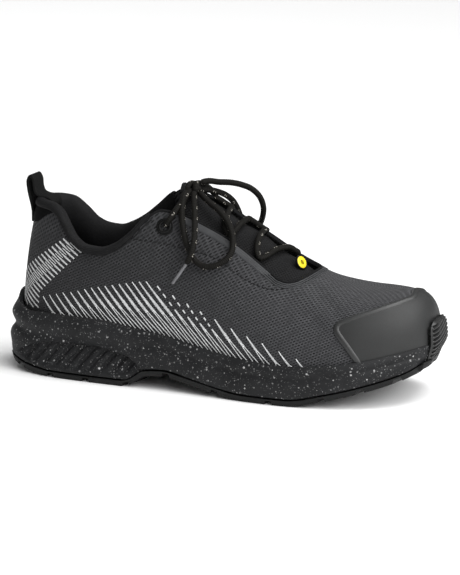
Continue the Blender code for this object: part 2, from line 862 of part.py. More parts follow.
def side_prism(name, outline, half_width):
    """Hidden cutter: a side view outline extruded across the shoe."""
    points = [(x, y, z) for y in (-half_width, half_width) for x, z in outline]
    count = len(outline)
    faces = [tuple(range(count)), tuple(range(2 * count - 1, count - 1, -1))]
    for i in range(count):
        j = (i + 1) % count
        faces.append((i, count + i, count + j, j))
    obj = new_object(name, mesh_from(name, points, faces), (0.5, 0.5, 0.5), 0.5)
    obj.hide_render = True
    obj.display_type = "WIRE"
    return obj


def pull_loop():
    """Webbing loop that straddles the heel's collar."""
    line = [Vector((x, 0.0, z)) for x, z in LOOP_LINE]
    grids = []
    for side in (-0.5, 0.5):
        lines = []
        for i, p in enumerate(line):
            before, after = line[max(i - 1, 0)], line[min(i + 1, len(line) - 1)]
            along = (after - before).normalized()
            out = Vector((-along.z, 0.0, along.x))
            middle = p + out * LOOP_THICKNESS * side
            lines.append([middle + Vector((0, y * LOOP_WIDTH / 2, 0)) for y in (-1, 1)])
        grids.append(lines)
    mesh = shell_grid("pull_loop", grids[1], grids[0])
    return new_object("pull_loop", mesh, WEBBING_COLOUR, 0.8)


def frame_of(normal):
    """Two directions across a normal."""
    normal = Vector(normal).normalized()
    across_it = normal.cross(Vector((0, 0, 1))).normalized()
    return normal, across_it, normal.cross(across_it)


def turned_ring(name, centre, normal, profile_line, sides, colour, roughness):
    """Solid of revolution from a closed line of (radius, height) pairs about the normal."""
    normal, u, v = frame_of(normal)
    points, faces = [], []
    count = len(profile_line)
    for i in range(sides):
        turn = 2 * math.pi * i / sides
        out = u * math.cos(turn) + v * math.sin(turn)
        points += [Vector(centre) + out * radius + normal * height for radius, height in profile_line]
    for i in range(sides):
        a, b = i * count, (i + 1) % sides * count
        for k in range(count):
            n = (k + 1) % count
            faces.append((a + k, a + n, b + n, b + k))
    return new_object(name, mesh_from(name, points, faces), colour, roughness)


def eyelet(name, side):
    """Flat ring on the upper at the top of the eyestay."""
    s = s_at_upper_x(EYELET_X)
    angle = rising_angle(lambda a: skin(s, side, a), lambda point: point.z >= EYELET_Z)
    foot = SEAT_GAP + EYELET_LIFT
    line = [
        (EYELET_HOLE, foot),
        (EYELET_RADIUS, foot),
        (EYELET_RADIUS - EYELET_RIM_BEVEL, foot + EYELET_THICKNESS),
        (EYELET_HOLE + EYELET_HOLE_BEVEL, foot + EYELET_THICKNESS),
    ]
    normal = skin_normal(s, side, angle)
    return turned_ring(name, skin(s, side, angle), normal, line, EYELET_SIDES, EYELET_COLOUR, 0.35)


def tag():
    """Round tag, flat on both faces."""
    half = TAG_THICKNESS / 2
    line = [(0.0, -half), (TAG_RADIUS, -half), (TAG_RADIUS, half), (0.0, half)]
    return turned_ring("tag", TAG_CENTRE, TAG_NORMAL, line, TAG_SIDES, TAG_COLOUR, 0.4)


def tube_mesh(name, path):
    """Closed tube of the lace's radius along a line of points."""
    points, faces = [], []
    across_it = None
    for i, p in enumerate(path):
        along = (path[min(i + 1, len(path) - 1)] - path[max(i - 1, 0)]).normalized()
        if across_it is None:
            across_it = along.orthogonal().normalized()
        across_it = (across_it - along * across_it.dot(along)).normalized()
        other = along.cross(across_it)
        for k in range(LACE_SIDES):
            turn = 2 * math.pi * k / LACE_SIDES
            points.append(p + (across_it * math.cos(turn) + other * math.sin(turn)) * LACE_RADIUS)
    for i in range(len(path) - 1):
        for k in range(LACE_SIDES):
            n = (k + 1) % LACE_SIDES
            a, b = i * LACE_SIDES, (i + 1) * LACE_SIDES
            faces.append((a + k, a + n, b + n, b + k))
    faces.append(tuple(range(LACE_SIDES)))
    faces.append(tuple(range(len(points) - LACE_SIDES, len(points))))
    return mesh_from(name, points, faces)


def throat_point(x, share):
    """Place of the lace's line above the tongue: share -1 at the lateral edge, 1 at the medial one."""
    s = s_at_upper_x(x)
    side = -1 if share < 0 else 1
    reach = abs(skin(s, side, edge_angle(s, side)).y - skin(s, side, math.pi / 2).y)
    angle = angle_at_reach(s, side, (reach - LACE_RADIUS - LACE_EDGE_GAP) * abs(share))
    return offset_skin(s, side, angle, -TONGUE_DEPTH + LACE_RADIUS + LACE_CLEARANCE)


def lace_crossings():
    """The lace between the edges of the throat, turning back at each of them."""
    path = []
    for a, b in zip(LACE_RUN, LACE_RUN[1:]):
        for k in range(LACE_STEPS):
            part = k / LACE_STEPS
            path.append(throat_point(a.x + (b.x - a.x) * part, a.share + (b.share - a.share) * part))
    path.append(throat_point(*LACE_RUN[-1]))
    return new_object("lace_crossings", tube_mesh("lace_crossings", path), LACE_COLOUR, 0.8)


def cord(name, line, radius, colour, roughness):
    """Round cord along a list of points."""
    curve = bpy.data.curves.new(name, "CURVE")
    curve.dimensions = "3D"
    curve.bevel_depth = radius * MM
    curve.bevel_resolution = 2
    curve.use_fill_caps = True
    spline = curve.splines.new("POLY")
    spline.points.add(len(line) - 1)
    for point, place in zip(spline.points, line):
        point.co = (*to_world(place), 1.0)
    obj = bpy.data.objects.new(name, curve)
    bpy.context.scene.collection.objects.link(obj)
    obj.parent = shoe
    material = bpy.data.materials.new(name)
    material.use_nodes = True
    shader = material.node_tree.nodes["Principled BSDF"]
    shader.inputs["Base Color"].default_value = (*colour, 1.0)
    shader.inputs["Roughness"].default_value = roughness
    curve.materials.append(material)
    return obj


def lace_knot():
    """Drawn-up knot of the bow as one rounded body."""
    rings, sides = KNOT_RINGS, KNOT_SIDES
    points, faces = [], []
    for i in range(rings + 1):
        up = math.pi * i / rings
        for k in range(sides):
            turn = 2 * math.pi * k / sides
            points.append((
                KNOT.x + KNOT_RADII.x * math.sin(up) * math.cos(turn),
                KNOT.y + KNOT_RADII.y * math.sin(up) * math.sin(turn),
                KNOT.z + KNOT_RADII.z * math.cos(up),
            ))
    for i in range(rings):
        for k in range(sides):
            n = (k + 1) % sides
            faces.append((i * sides + k, i * sides + n, (i + 1) * sides + n, (i + 1) * sides + k))
    return new_object("lace_knot", mesh_from("lace_knot", points, faces), LACE_COLOUR, 0.8)


def bow():
    """Knot, two loops and two tipped ends."""
    lace_knot()
    cord("lace_loop_lateral", LATERAL_LOOP, LACE_RADIUS, LACE_COLOUR, 0.8)
    cord("lace_end_lateral", LATERAL_END, LACE_RADIUS, LACE_COLOUR, 0.8)
    cord("lace_tip_lateral", LATERAL_TIP, TIP_RADIUS, TIP_COLOUR, 0.4)
    cord("lace_loop_medial", MEDIAL_LOOP, LACE_RADIUS, LACE_COLOUR, 0.8)
    cord("lace_end_medial", MEDIAL_END, LACE_RADIUS, LACE_COLOUR, 0.8)
    cord("lace_tip_medial", MEDIAL_TIP, TIP_RADIUS, TIP_COLOUR, 0.4)


for old in list(bpy.data.objects):
    bpy.data.objects.remove(old)

shoe = bpy.data.objects.new("shoe", None)
bpy.context.scene.collection.objects.link(shoe)
outsole()
midsole()
insole()
upper()
tongue()
toe_cap()
pull_loop()
eyelet("eyelet_lateral", -1)
eyelet("eyelet_medial", 1)
tag()
lace_crossings()
bow()
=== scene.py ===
import math

import bpy
import numpy as np
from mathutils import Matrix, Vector
from mathutils.bvhtree import BVHTree


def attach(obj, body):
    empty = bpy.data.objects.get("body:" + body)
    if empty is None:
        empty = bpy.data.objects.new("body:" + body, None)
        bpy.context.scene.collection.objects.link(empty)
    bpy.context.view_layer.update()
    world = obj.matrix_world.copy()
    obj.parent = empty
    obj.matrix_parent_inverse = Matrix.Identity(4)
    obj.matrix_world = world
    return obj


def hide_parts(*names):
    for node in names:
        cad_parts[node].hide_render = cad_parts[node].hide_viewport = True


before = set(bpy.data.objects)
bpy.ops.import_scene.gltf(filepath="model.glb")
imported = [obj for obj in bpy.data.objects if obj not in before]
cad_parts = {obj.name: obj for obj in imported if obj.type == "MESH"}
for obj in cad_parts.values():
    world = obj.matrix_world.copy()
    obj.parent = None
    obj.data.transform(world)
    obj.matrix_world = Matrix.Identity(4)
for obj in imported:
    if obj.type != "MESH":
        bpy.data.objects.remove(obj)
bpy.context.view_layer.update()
mm = 0.001
lateral, medial = -1, 1
halfTurn = math.pi
rightAngle = math.pi / 2
nearStep = 1e-3  # small step along the outline or up a rib, for directions
halvings = 36
fineness = {"outline": 4000, "ribs": 4001, "chartRibs": 281, "chartAngles": 121}
chartStart = 240.0  # lengths along the shoe are counted from this x
print("frame loaded,", len(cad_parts), "nodes")

# The last in millimetres from the heel, with the same sections as the frame's solids
last = {
    "soleLength": 297.0, "shoeLength": 300.0, "endPower": 2.5, "seatGap": 0.4,
    "heelInset": 9.1, "sideInset": 5.2, "toeInset": 2.4,
    "throatFront": 213.0, "throatRound": 16.0,
    "crownX": [(0, 42.5), (86, 86), (160, 160), (230, 230), (297, 274)],
}
planRows = np.array([  # x, lateral half-width, medial half-width, centre
    (0, 52, 52, 0), (75, 44.5, 43, 0), (120, 43.5, 36, 0), (150, 46.5, 36.5, 0), (180, 51.5, 43, 0.5),
    (210, 56.5, 51.5, 1.2), (240, 60, 58, 2.8), (270, 62, 60.5, 4.8), (300, 63, 61, 7),
])
profileRows = np.array([  # x, tread, foot bed, rim of the midsole
    (0, 7, 29, 49), (10, 4.6, 28.6, 45.5), (22, 2.2, 28.2, 42.2), (42, 0, 28, 42.9), (75, 0, 27.2, 42.6),
    (96, 0, 26, 40.3), (110, 8, 25, 38.5), (124, 9.2, 23.5, 36.5), (145, 5.5, 20.5, 32.5),
    (165, 1.8, 18, 29.2), (182, 0, 16.5, 27.2), (213, 0, 15.5, 25.9), (235, 4.2, 17.5, 27.4),
    (260, 10.5, 23, 30.9), (283, 17.8, 29, 35.8), (297, 24, 33, 38.2),
])
crownRows = np.array([  # x, height, shift to the inner side, fullness of the section
    (0, 150, 0, 2), (72, 150, 0, 2.1), (100, 143, 3, 2), (128, 128.5, 6, 1.95), (145, 119, 7, 1.9),
    (170, 105, 7.5, 1.9), (198, 88.5, 6, 1.9), (212, 81, 4.5, 1.95), (228, 74.8, 3, 2.1),
    (250, 70.6, 1, 2.5), (275, 70.2, 0, 2.9), (297, 70.2, 0, 3.2),
])
edgeRows = np.array([  # x, height of the upper's edge at the outer and the inner side
    (0, 113, 113), (22, 113, 113), (34, 112.6, 110.8), (42, 109.5, 103.5), (49, 101, 95.5),
    (56, 92.5, 92.2), (65, 87.8, 91.2), (75, 87.2, 94.7), (85, 90.5, 100.5), (96, 99, 109),
    (106, 110, 117.5), (115, 115, 122), (126, 113, 122), (145, 105.5, 115.8), (168, 94, 102),
    (183, 84.5, 93), (197, 75.5, 84),
])


def smoothCurve(xs, ys):  # smooth through the points, without overshoot
    xs, ys = np.array(xs, float), np.array(ys, float)
    steps = np.diff(xs)
    slopes = np.diff(ys) / steps
    tangents = np.zeros(len(xs))
    tangents[0], tangents[-1] = slopes[0], slopes[-1]
    for i in range(1, len(xs) - 1):
        before, after = slopes[i - 1], slopes[i]
        if before * after > 0:
            w1 = 2 * steps[i] + steps[i - 1]
            w2 = steps[i] + 2 * steps[i - 1]
            tangents[i] = (w1 + w2) / (w1 / before + w2 / after)

    def value(x):
        x = np.clip(x, xs[0], xs[-1])
        i = np.clip(np.searchsorted(xs, x, side="right") - 1, 0, len(xs) - 2)
        u = (x - xs[i]) / steps[i]
        rest = 1 - u
        return (
            ys[i] * rest * rest * (1 + 2 * u)
            + tangents[i] * steps[i] * u * rest * rest
            + ys[i + 1] * u * u * (3 - 2 * u)
            - tangents[i + 1] * steps[i] * u * u * rest
        )

    return value


def columnCurves(rows):
    return [smoothCurve(rows[:, 0], rows[:, k]) for k in range(1, rows.shape[1])]


planLateral, planMedial, planCentre = columnCurves(planRows)
treadZ, floorZ, rimZ = columnCurves(profileRows)
crownHeight, crownShift, crownFullness = columnCurves(crownRows)
edgeLateral, edgeMedial = columnCurves(edgeRows)


def smoothStep(low, high, x):
    t = np.clip((x - low) / (high - low), 0, 1)
    return t * t * (3 - 2 * t)


def planPoint(t, side, heelInset, sideInset, toeInset):
    x = heelInset + (last["soleLength"] - heelInset - toeInset) * t
    half = np.where(side < 0, planLateral(x), planMedial(x)) - sideInset
    roundEnd = np.maximum(0, 1 - np.abs(2 * t - 1) ** last["endPower"]) ** (1 / last["endPower"])
    return x, planCentre(x) + side * half * roundEnd


fineT = (1 - np.cos(np.linspace(0, halfTurn, fineness["outline"]))) / 2
fineOutline = np.stack(planPoint(fineT, lateral, 0, 0, 0), -1)
fineArc = np.concatenate([[0], np.cumsum(np.linalg.norm(np.diff(fineOutline, axis=0), axis=1))])
outlineLength = fineArc[-1]
middleY = (fineOutline[:, 1].min() + planPoint(fineT, medial, 0, 0, 0)[1].max()) / 2
middle = np.array([last["shoeLength"] / 2, middleY, 0])


def toWorld(points):
    return (np.asarray(points, float) - middle) * mm


def tAt(s):
    return np.interp(s, fineArc / outlineLength, fineT)


def sAtX(x):
    return np.interp(np.asarray(x) / last["soleLength"], fineT, fineArc / outlineLength)


def upperPlan(s, side, inset=0.0):
    insets = [last[k] + inset for k in ("heelInset", "sideInset", "toeInset")]
    return planPoint(tAt(s), side, *insets)


crownX = smoothCurve([sAtX(x) for x, _ in last["crownX"]], [x for _, x in last["crownX"]])
fineS = np.linspace(0, 1, fineness["ribs"])
fineUpperX = upperPlan(fineS, lateral)[0]


def sAtUpperX(x):
    return np.interp(x, fineUpperX, fineS)


def skin(s, side, angle):  # outer surface of the closed last, angle 0 at its foot and 90 degrees at its crown
    s, side, angle = np.broadcast_arrays(s, side, angle)
    x, y = upperPlan(s, side)
    footZ = floorZ(x) + last["seatGap"]
    topX = crownX(s)
    topY = planCentre(topX) + crownShift(topX)
    power = 2 / crownFullness(x)
    reach = np.maximum(0, np.cos(angle)) ** power
    rise = np.maximum(0, np.sin(angle)) ** power
    return np.stack([
        topX + (x - topX) * reach,
        topY + (y - topY) * reach,
        footZ + (crownHeight(topX) - footZ) * rise,
    ], -1)


def unit(vectors):
    return vectors / np.maximum(np.linalg.norm(vectors, axis=-1, keepdims=True), 1e-12)


def skinNormal(s, side, angle):
    s, side, angle = np.broadcast_arrays(s, side, angle)
    along = skin(np.minimum(s + nearStep, 1), side, angle) - skin(np.maximum(s - nearStep, 0), side, angle)
    higher, lower = np.minimum(angle + nearStep, rightAngle), np.maximum(angle - nearStep, 0)
    up = skin(s, side, higher) - skin(s, side, lower)
    return unit(np.cross(along, up) * -side[..., None])


def outlineNormal(s, side):  # level direction out of the sole's outline
    ahead, behind = [
        np.stack(planPoint(tAt(np.clip(s + step, 0, 1)), side, 0, 0, 0), -1) for step in (nearStep, -nearStep)
    ]
    tangent = unit(ahead - behind)
    return np.stack([tangent[:, 1], -tangent[:, 0]], -1) * -side[:, None]


def offsetSkin(s, side, angle, distance):
    return skin(s, side, angle) + skinNormal(s, side, angle) * np.asarray(distance)[..., None]


def bisect(passed, low, high, shape):  # smallest value at which a test that stays true begins to hold
    low, high = np.full(shape, float(low)), np.full(shape, float(high))
    for _ in range(halvings):
        half = (low + high) / 2
        ok = passed(half)
        high = np.where(ok, half, high)
        low = np.where(ok, low, half)
    return high


def edgeHeight(x, side):
    return np.where(side < 0, edgeLateral(x), edgeMedial(x))


def edgeAngle(s, side):  # where a rib meets the top edge of the upper, a right angle on the vamp
    s, side = np.broadcast_arrays(np.asarray(s, float), side)

    def aboveEdge(angle):
        p = skin(s, side, angle)
        return p[..., 2] >= edgeHeight(p[..., 0], side)

    tableAngle = bisect(aboveEdge, 0, rightAngle, s.shape)
    x = upperPlan(s, side)[0]
    start = last["throatFront"] - last["throatRound"]
    straight = sAtUpperX(start)
    reaches = {}
    for one in (lateral, medial):
        angle = bisect(lambda a: skin(straight, one, a)[..., 2] >= edgeHeight(start, one), 0, rightAngle, ())
        reaches[one] = abs(skin(straight, one, angle)[1] - skin(straight, one, rightAngle)[1])
    reach = np.where(side < 0, reaches[lateral], reaches[medial])
    reach = reach * np.sqrt(np.maximum(0, 1 - (np.clip(x - start, 0, None) / last["throatRound"]) ** 2))
    crownY = skin(s, side, rightAngle)[..., 1]
    roundAngle = bisect(lambda a: np.abs(skin(s, side, a)[..., 1] - crownY) <= reach, 0, rightAngle, s.shape)
    angle = np.where(x > start, roundAngle, tableAngle)
    return np.where(x >= last["throatFront"] - 0.01, rightAngle, angle)


def angleAtHeight(s, side, z):
    s, side, z = np.broadcast_arrays(np.asarray(s, float), side, z)
    return bisect(lambda a: skin(s, side, a)[..., 2] >= z, 0, rightAngle, s.shape)


def chartAt(x, z, side):  # rib and angle of the surface point seen at x and z from the side
    x, z = np.broadcast_arrays(np.asarray(x, float), np.asarray(z, float))
    s = bisect(lambda s: skin(s, side, angleAtHeight(s, side, z))[..., 0] >= x, 0, 1, x.shape)
    return s, angleAtHeight(s, side, z)


# Lengths along the surface: around the shoe from the vamp, and up each rib from the foot's height
chartS = np.linspace(0, 1, fineness["chartRibs"])
chartA = np.linspace(0, rightAngle, fineness["chartAngles"])
around, upwards = {}, {}
for side in (lateral, medial):
    grid = skin(chartS[:, None], side, chartA[None, :])
    stepsAround = np.linalg.norm(np.diff(grid, axis=0), axis=-1)
    stepsUp = np.linalg.norm(np.diff(grid, axis=1), axis=-1)
    total = np.concatenate([np.zeros((1, len(chartA))), np.cumsum(stepsAround, axis=0)])
    around[side] = total - total[np.searchsorted(chartS, sAtUpperX(chartStart))]
    rise = np.concatenate([np.zeros((len(chartS), 1)), np.cumsum(stepsUp, axis=1)], axis=1)
    upwards[side] = rise + grid[:, :1, 2]


def readChart(tables, s, side, angle):
    s, side, angle = np.broadcast_arrays(np.asarray(s, float), side, angle)
    lastI, lastK = len(chartS) - 1, len(chartA) - 1
    i = np.clip(s * lastI, 0, lastI - 1e-4)
    k = np.clip(angle / rightAngle * lastK, 0, lastK - 1e-4)
    i0, k0 = i.astype(int), k.astype(int)
    fi, fa = i - i0, k - k0
    out = np.zeros(s.shape)
    for one in (lateral, medial):
        t = tables[one]
        low = t[i0, k0] * (1 - fa) + t[i0, k0 + 1] * fa
        high = t[i0 + 1, k0] * (1 - fa) + t[i0 + 1, k0 + 1] * fa
        out = np.where(side == one, low * (1 - fi) + high * fi, out)
    return out


def surfaceChart(s, side, angle):
    return np.stack([readChart(around, s, side, angle), readChart(upwards, s, side, angle)], -1)


def angleAtUp(s, side, up):  # angle at a length up the rib
    s, side, up = np.broadcast_arrays(np.asarray(s, float), side, up)
    return bisect(lambda a: readChart(upwards, s, side, a) >= up, 0, rightAngle, s.shape)


print("last worked out, outline", round(float(outlineLength), 1), "mm")


# Mesh tools
def activate(obj):
    bpy.ops.object.select_all(action="DESELECT")
    obj.select_set(True)
    bpy.context.view_layer.objects.active = obj


def edit(obj, *steps):  # runs edit mode operators on the whole mesh
    activate(obj)
    bpy.ops.object.mode_set(mode="EDIT")
    bpy.ops.mesh.select_all(action="SELECT")
    for step in steps:
        step()
    bpy.ops.object.mode_set(mode="OBJECT")


def mergeClose(distance=0.01):
    return lambda: bpy.ops.mesh.remove_doubles(threshold=distance * mm)


def faceOut():
    bpy.ops.mesh.normals_make_consistent(inside=False)


def readPoints(obj):  # a mesh's points in millimetres from the heel
    flat = np.empty(len(obj.data.vertices) * 3)
    obj.data.vertices.foreach_get("co", flat)
    return flat.reshape(-1, 3) / mm + middle


def writePoints(obj, points):
    obj.data.vertices.foreach_set("co", toWorld(points).ravel())


def drapedGrid(name, columns, rows, place):  # a grid primitive whose points are laid by place(column, row)
    bpy.ops.object.select_all(action="DESELECT")
    bpy.ops.mesh.primitive_grid_add(x_subdivisions=columns, y_subdivisions=rows, size=1)
    obj = bpy.context.object
    obj.name = obj.data.name = name
    mesh = obj.data
    flat = np.empty(len(mesh.vertices) * 3)
    mesh.vertices.foreach_get("co", flat)
    u, v = flat.reshape(-1, 3)[:, 0] + 0.5, flat.reshape(-1, 3)[:, 1] + 0.5
    points, chart = place(np.round(u * columns).astype(int), np.round(v * rows).astype(int))
    writePoints(obj, points)
    corners = np.empty(len(mesh.loops), int)
    mesh.loops.foreach_get("vertex_index", corners)
    layer = mesh.uv_layers.active
    layer.name = "chart"
    layer.data.foreach_set("uv", np.asarray(chart, float)[corners].ravel())
    mesh.update()
    return obj


def turnTo(obj, outward):  # flips an open sheet whose faces look the other way
    normals = np.empty(len(obj.data.vertices) * 3)
    obj.data.vertices.foreach_get("normal", normals)
    if (normals.reshape(-1, 3) * outward).sum() < 0:
        edit(obj, bpy.ops.mesh.flip_normals)


def turnSide(obj):  # an open wall around the shoe is turned to look outward
    count = len(obj.data.polygons)
    centres, normals = np.empty(count * 3), np.empty(count * 3)
    obj.data.polygons.foreach_get("center", centres)
    obj.data.polygons.foreach_get("normal", normals)
    y, ny = centres.reshape(-1, 3)[:, 1], normals.reshape(-1, 3)[:, 1]
    if (np.sign(y) * ny).sum() < 0:
        edit(obj, bpy.ops.mesh.flip_normals)


def applyModifier(obj, kind, **settings):
    activate(obj)
    modifier = obj.modifiers.new(kind.lower(), kind)
    for key, value in settings.items():
        setattr(modifier, key, value)
    bpy.ops.object.modifier_apply(modifier=modifier.name)


def thicken(obj, thickness, **settings):
    applyModifier(obj, "SOLIDIFY", thickness=thickness * mm, offset=-1.0, use_even_offset=True, **settings)


def lengthsAlong(line):
    return np.concatenate([[0], np.cumsum(np.linalg.norm(np.diff(line, axis=0), axis=1))])


def readLine(at, lengths, values):  # columns of values at some lengths along a line
    return np.stack([np.interp(at, lengths, values[:, k]) for k in range(values.shape[1])], -1)


def resample(line, step):  # points at even lengths along a line
    line = np.asarray(line, float)
    lengths = lengthsAlong(line)
    count = max(2, int(round(lengths[-1] / step)) + 1)
    return readLine(np.linspace(0, lengths[-1], count), lengths, line)


def smoothLine(points, perSpan=8):  # rounded line through given points
    p = np.asarray(points, float)
    p = np.vstack([2 * p[0] - p[1], p, 2 * p[-1] - p[-2]])
    out = []
    for i in range(1, len(p) - 2):
        for u in np.linspace(0, 1, perSpan, endpoint=False):
            a, b, c, d = p[i - 1], p[i], p[i + 1], p[i + 2]
            out.append(0.5 * (2 * b + (c - a) * u + (2 * a - 5 * b + 4 * c - d) * u**2
                              + (3 * b - a - 3 * c + d) * u**3))
    return np.array(out + [p[-2]])


def evened(normals, rounds):  # normals blended with their neighbours along a line
    for _ in range(rounds):
        normals[1:-1] = unit(normals[:-2] + normals[1:-1] + normals[2:])
    return normals


def sweep(name, line, outward, profile):  # a closed section of (across, outward) pairs carried along a line
    line, outward = np.asarray(line, float), unit(np.asarray(outward, float))
    section = np.array(list(profile) + [profile[0]], float)
    across = unit(np.cross(outward, unit(np.gradient(line, axis=0))))
    lengths = lengthsAlong(line)
    girth = lengthsAlong(section)

    def place(i, k):
        points = line[i] + across[i] * section[k, :1] + outward[i] * section[k, 1:2]
        return points, np.stack([lengths[i], girth[k]], -1)

    obj = drapedGrid(name, len(line) - 1, len(section) - 1, place)
    edit(obj, mergeClose(), lambda: bpy.ops.mesh.fill_holes(sides=0), faceOut)
    return obj


tubeEnd = {"aside": (0.31, 0.57, 0.76), "length": 0.7, "least": 0.25}


def tube(name, line, radius, sides, relief=None):  # round cord with an optional relief of its radius
    line = np.asarray(line, float)
    tangent = unit(np.gradient(line, axis=0))
    across = [unit(np.cross(tangent[0], tubeEnd["aside"]))]
    for t in tangent[1:]:
        across.append(unit(across[-1] - t * (across[-1] @ t)))
    across = np.array(across)
    other = np.cross(tangent, across)
    lengths = lengthsAlong(line)

    def place(i, k):
        turn = 2 * halfTurn * k / sides
        r = radius * np.ones(len(i)) if relief is None else radius * relief(lengths[i], k / sides)
        end = np.minimum(lengths[i], lengths[-1] - lengths[i])
        r = r * np.sqrt(np.clip(end / (tubeEnd["length"] * radius), tubeEnd["least"], 1))
        ray = across[i] * np.cos(turn)[:, None] + other[i] * np.sin(turn)[:, None]
        return line[i] + ray * r[:, None], np.stack([lengths[i], k / sides], -1)

    obj = drapedGrid(name, len(line) - 1, sides, place)
    edit(obj, mergeClose(0.001), lambda: bpy.ops.mesh.fill_holes(sides=0), faceOut)
    return obj


def join(objects, name):
    bpy.ops.object.select_all(action="DESELECT")
    for obj in objects:
        obj.select_set(True)
    bpy.context.view_layer.objects.active = objects[0]
    if len(objects) > 1:
        bpy.ops.object.join()
    objects[0].name = objects[0].data.name = name
    return objects[0]


def finishPiece(obj, materials, replaced=(), smoothAngle=40):
    obj.data.materials.clear()
    for material in materials if isinstance(materials, list) else [materials]:
        obj.data.materials.append(material)
    activate(obj)
    bpy.ops.object.shade_smooth_by_angle(angle=math.radians(smoothAngle))
    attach(obj, "root")
    if replaced:
        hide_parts(*replaced)
    return obj


# Shader tools
def feed(tree, socket, value):
    if isinstance(value, bpy.types.NodeSocket):
        tree.links.new(value, socket)
    else:
        socket.default_value = value


def addNode(tree, kind, inputs=None, **settings):
    made = tree.nodes.new(kind)
    for key, value in settings.items():
        setattr(made, key, value)
    for key, value in (inputs or {}).items():
        feed(tree, made.inputs[key], value)
    return made


def calc(tree, operation, *values):
    return addNode(tree, "ShaderNodeMath", dict(enumerate(values)), operation=operation).outputs[0]


def ramp(tree, value, low, high, start=0.0, end=1.0):
    inputs = {"Value": value, "From Min": low, "From Max": high, "To Min": start, "To Max": end}
    return addNode(tree, "ShaderNodeMapRange", inputs, interpolation_type="SMOOTHSTEP").outputs["Result"]


def mixColour(tree, factor, first, second, blend="MIX"):
    inputs = {0: factor, 6: first, 7: second}
    return addNode(tree, "ShaderNodeMix", inputs, data_type="RGBA", blend_type=blend).outputs[2]


def newGroup(name, place, values, outputs):  # takes one vector and some values, gives values
    tree = bpy.data.node_groups.new(name, "ShaderNodeTree")
    tree.interface.new_socket(name=place, in_out="INPUT", socket_type="NodeSocketVector")
    for direction, labels in (("INPUT", values), ("OUTPUT", outputs)):
        for label in labels:
            tree.interface.new_socket(name=label, in_out=direction, socket_type="NodeSocketFloat")
    return tree, tree.nodes.new("NodeGroupInput").outputs, tree.nodes.new("NodeGroupOutput").inputs


def placeGroup(tree, group, inputs):
    return addNode(tree, "ShaderNodeGroup", inputs, node_tree=group).outputs


def shaded(colour, factor):  # a colour made lighter or darker
    return tuple(c * factor for c in colour[:3]) + (1.0,)


def newMaterial(name, roughness=0.6, **sockets):
    material = bpy.data.materials.new(name)
    material.use_nodes = True
    tree = material.node_tree
    shader = tree.nodes["Principled BSDF"]
    shader.inputs["Roughness"].default_value = roughness
    for key, value in sockets.items():
        shader.inputs[key.replace("_", " ")].default_value = value
    return material, tree, shader


def dress(tree, shader, colour, roughness, height, strength, distance):
    inputs = {"Height": height, "Strength": strength, "Distance": distance * mm}
    bump = addNode(tree, "ShaderNodeBump", inputs).outputs["Normal"]
    for key, value in (("Base Color", colour), ("Roughness", roughness), ("Normal", bump)):
        feed(tree, shader.inputs[key], value)


def objectPlace(tree):
    return tree.nodes.new("ShaderNodeTexCoord").outputs["Object"]


def chartPlace(tree):
    return addNode(tree, "ShaderNodeUVMap", uv_map="chart").outputs["UV"]


def chartParts(tree, vector):
    return addNode(tree, "ShaderNodeSeparateXYZ", {0: vector}).outputs


def noise(tree, vector, scale, detail=2.0, rough=0.5):
    inputs = {"Vector": vector, "Scale": scale, "Detail": detail, "Roughness": rough}
    return addNode(tree, "ShaderNodeTexNoise", inputs).outputs["Fac"]


print("tools ready")


# Camera, floor and light
view = {
    "yaw": 21.5, "elevation": 12.5, "distance": 2.0, "lens": 190.93, "sensor": 36.0, "clipEnd": 200.0,
    "target": (154.44, 0.0, 62.36),
    "floorSize": 60.0, "floorDrop": 0.0002, "floorColour": (0.93, 0.93, 0.93, 1.0),
    "worldStrength": 0.2, "sunStrength": 3.1, "sunAngle": 75.0, "sunFrom": (0.9, -0.26, 1.0),
    "lampAim": (0, 0, 0.05),
}
lampRows = [  # name, place in metres from the shoe, size in metres, watts
    ("overhead", (0.6, 0.0, 1.5), 0.9, 10.5),
    ("front", (0.9, -1.7, 0.9), 1.0, 4.5),
    ("toe", (1.5, -0.6, 0.9), 0.7, 8.0),
    ("back", (-1.2, 1.2, 1.2), 0.9, 4.0),
]


def stand(name, data, place, direction):  # a camera or lamp that looks along a direction
    obj = bpy.data.objects.new(name, data)
    bpy.context.scene.collection.objects.link(obj)
    obj.location = place
    obj.rotation_mode = "QUATERNION"
    obj.rotation_quaternion = Vector(direction).to_track_quat("-Z", "Y")
    return obj


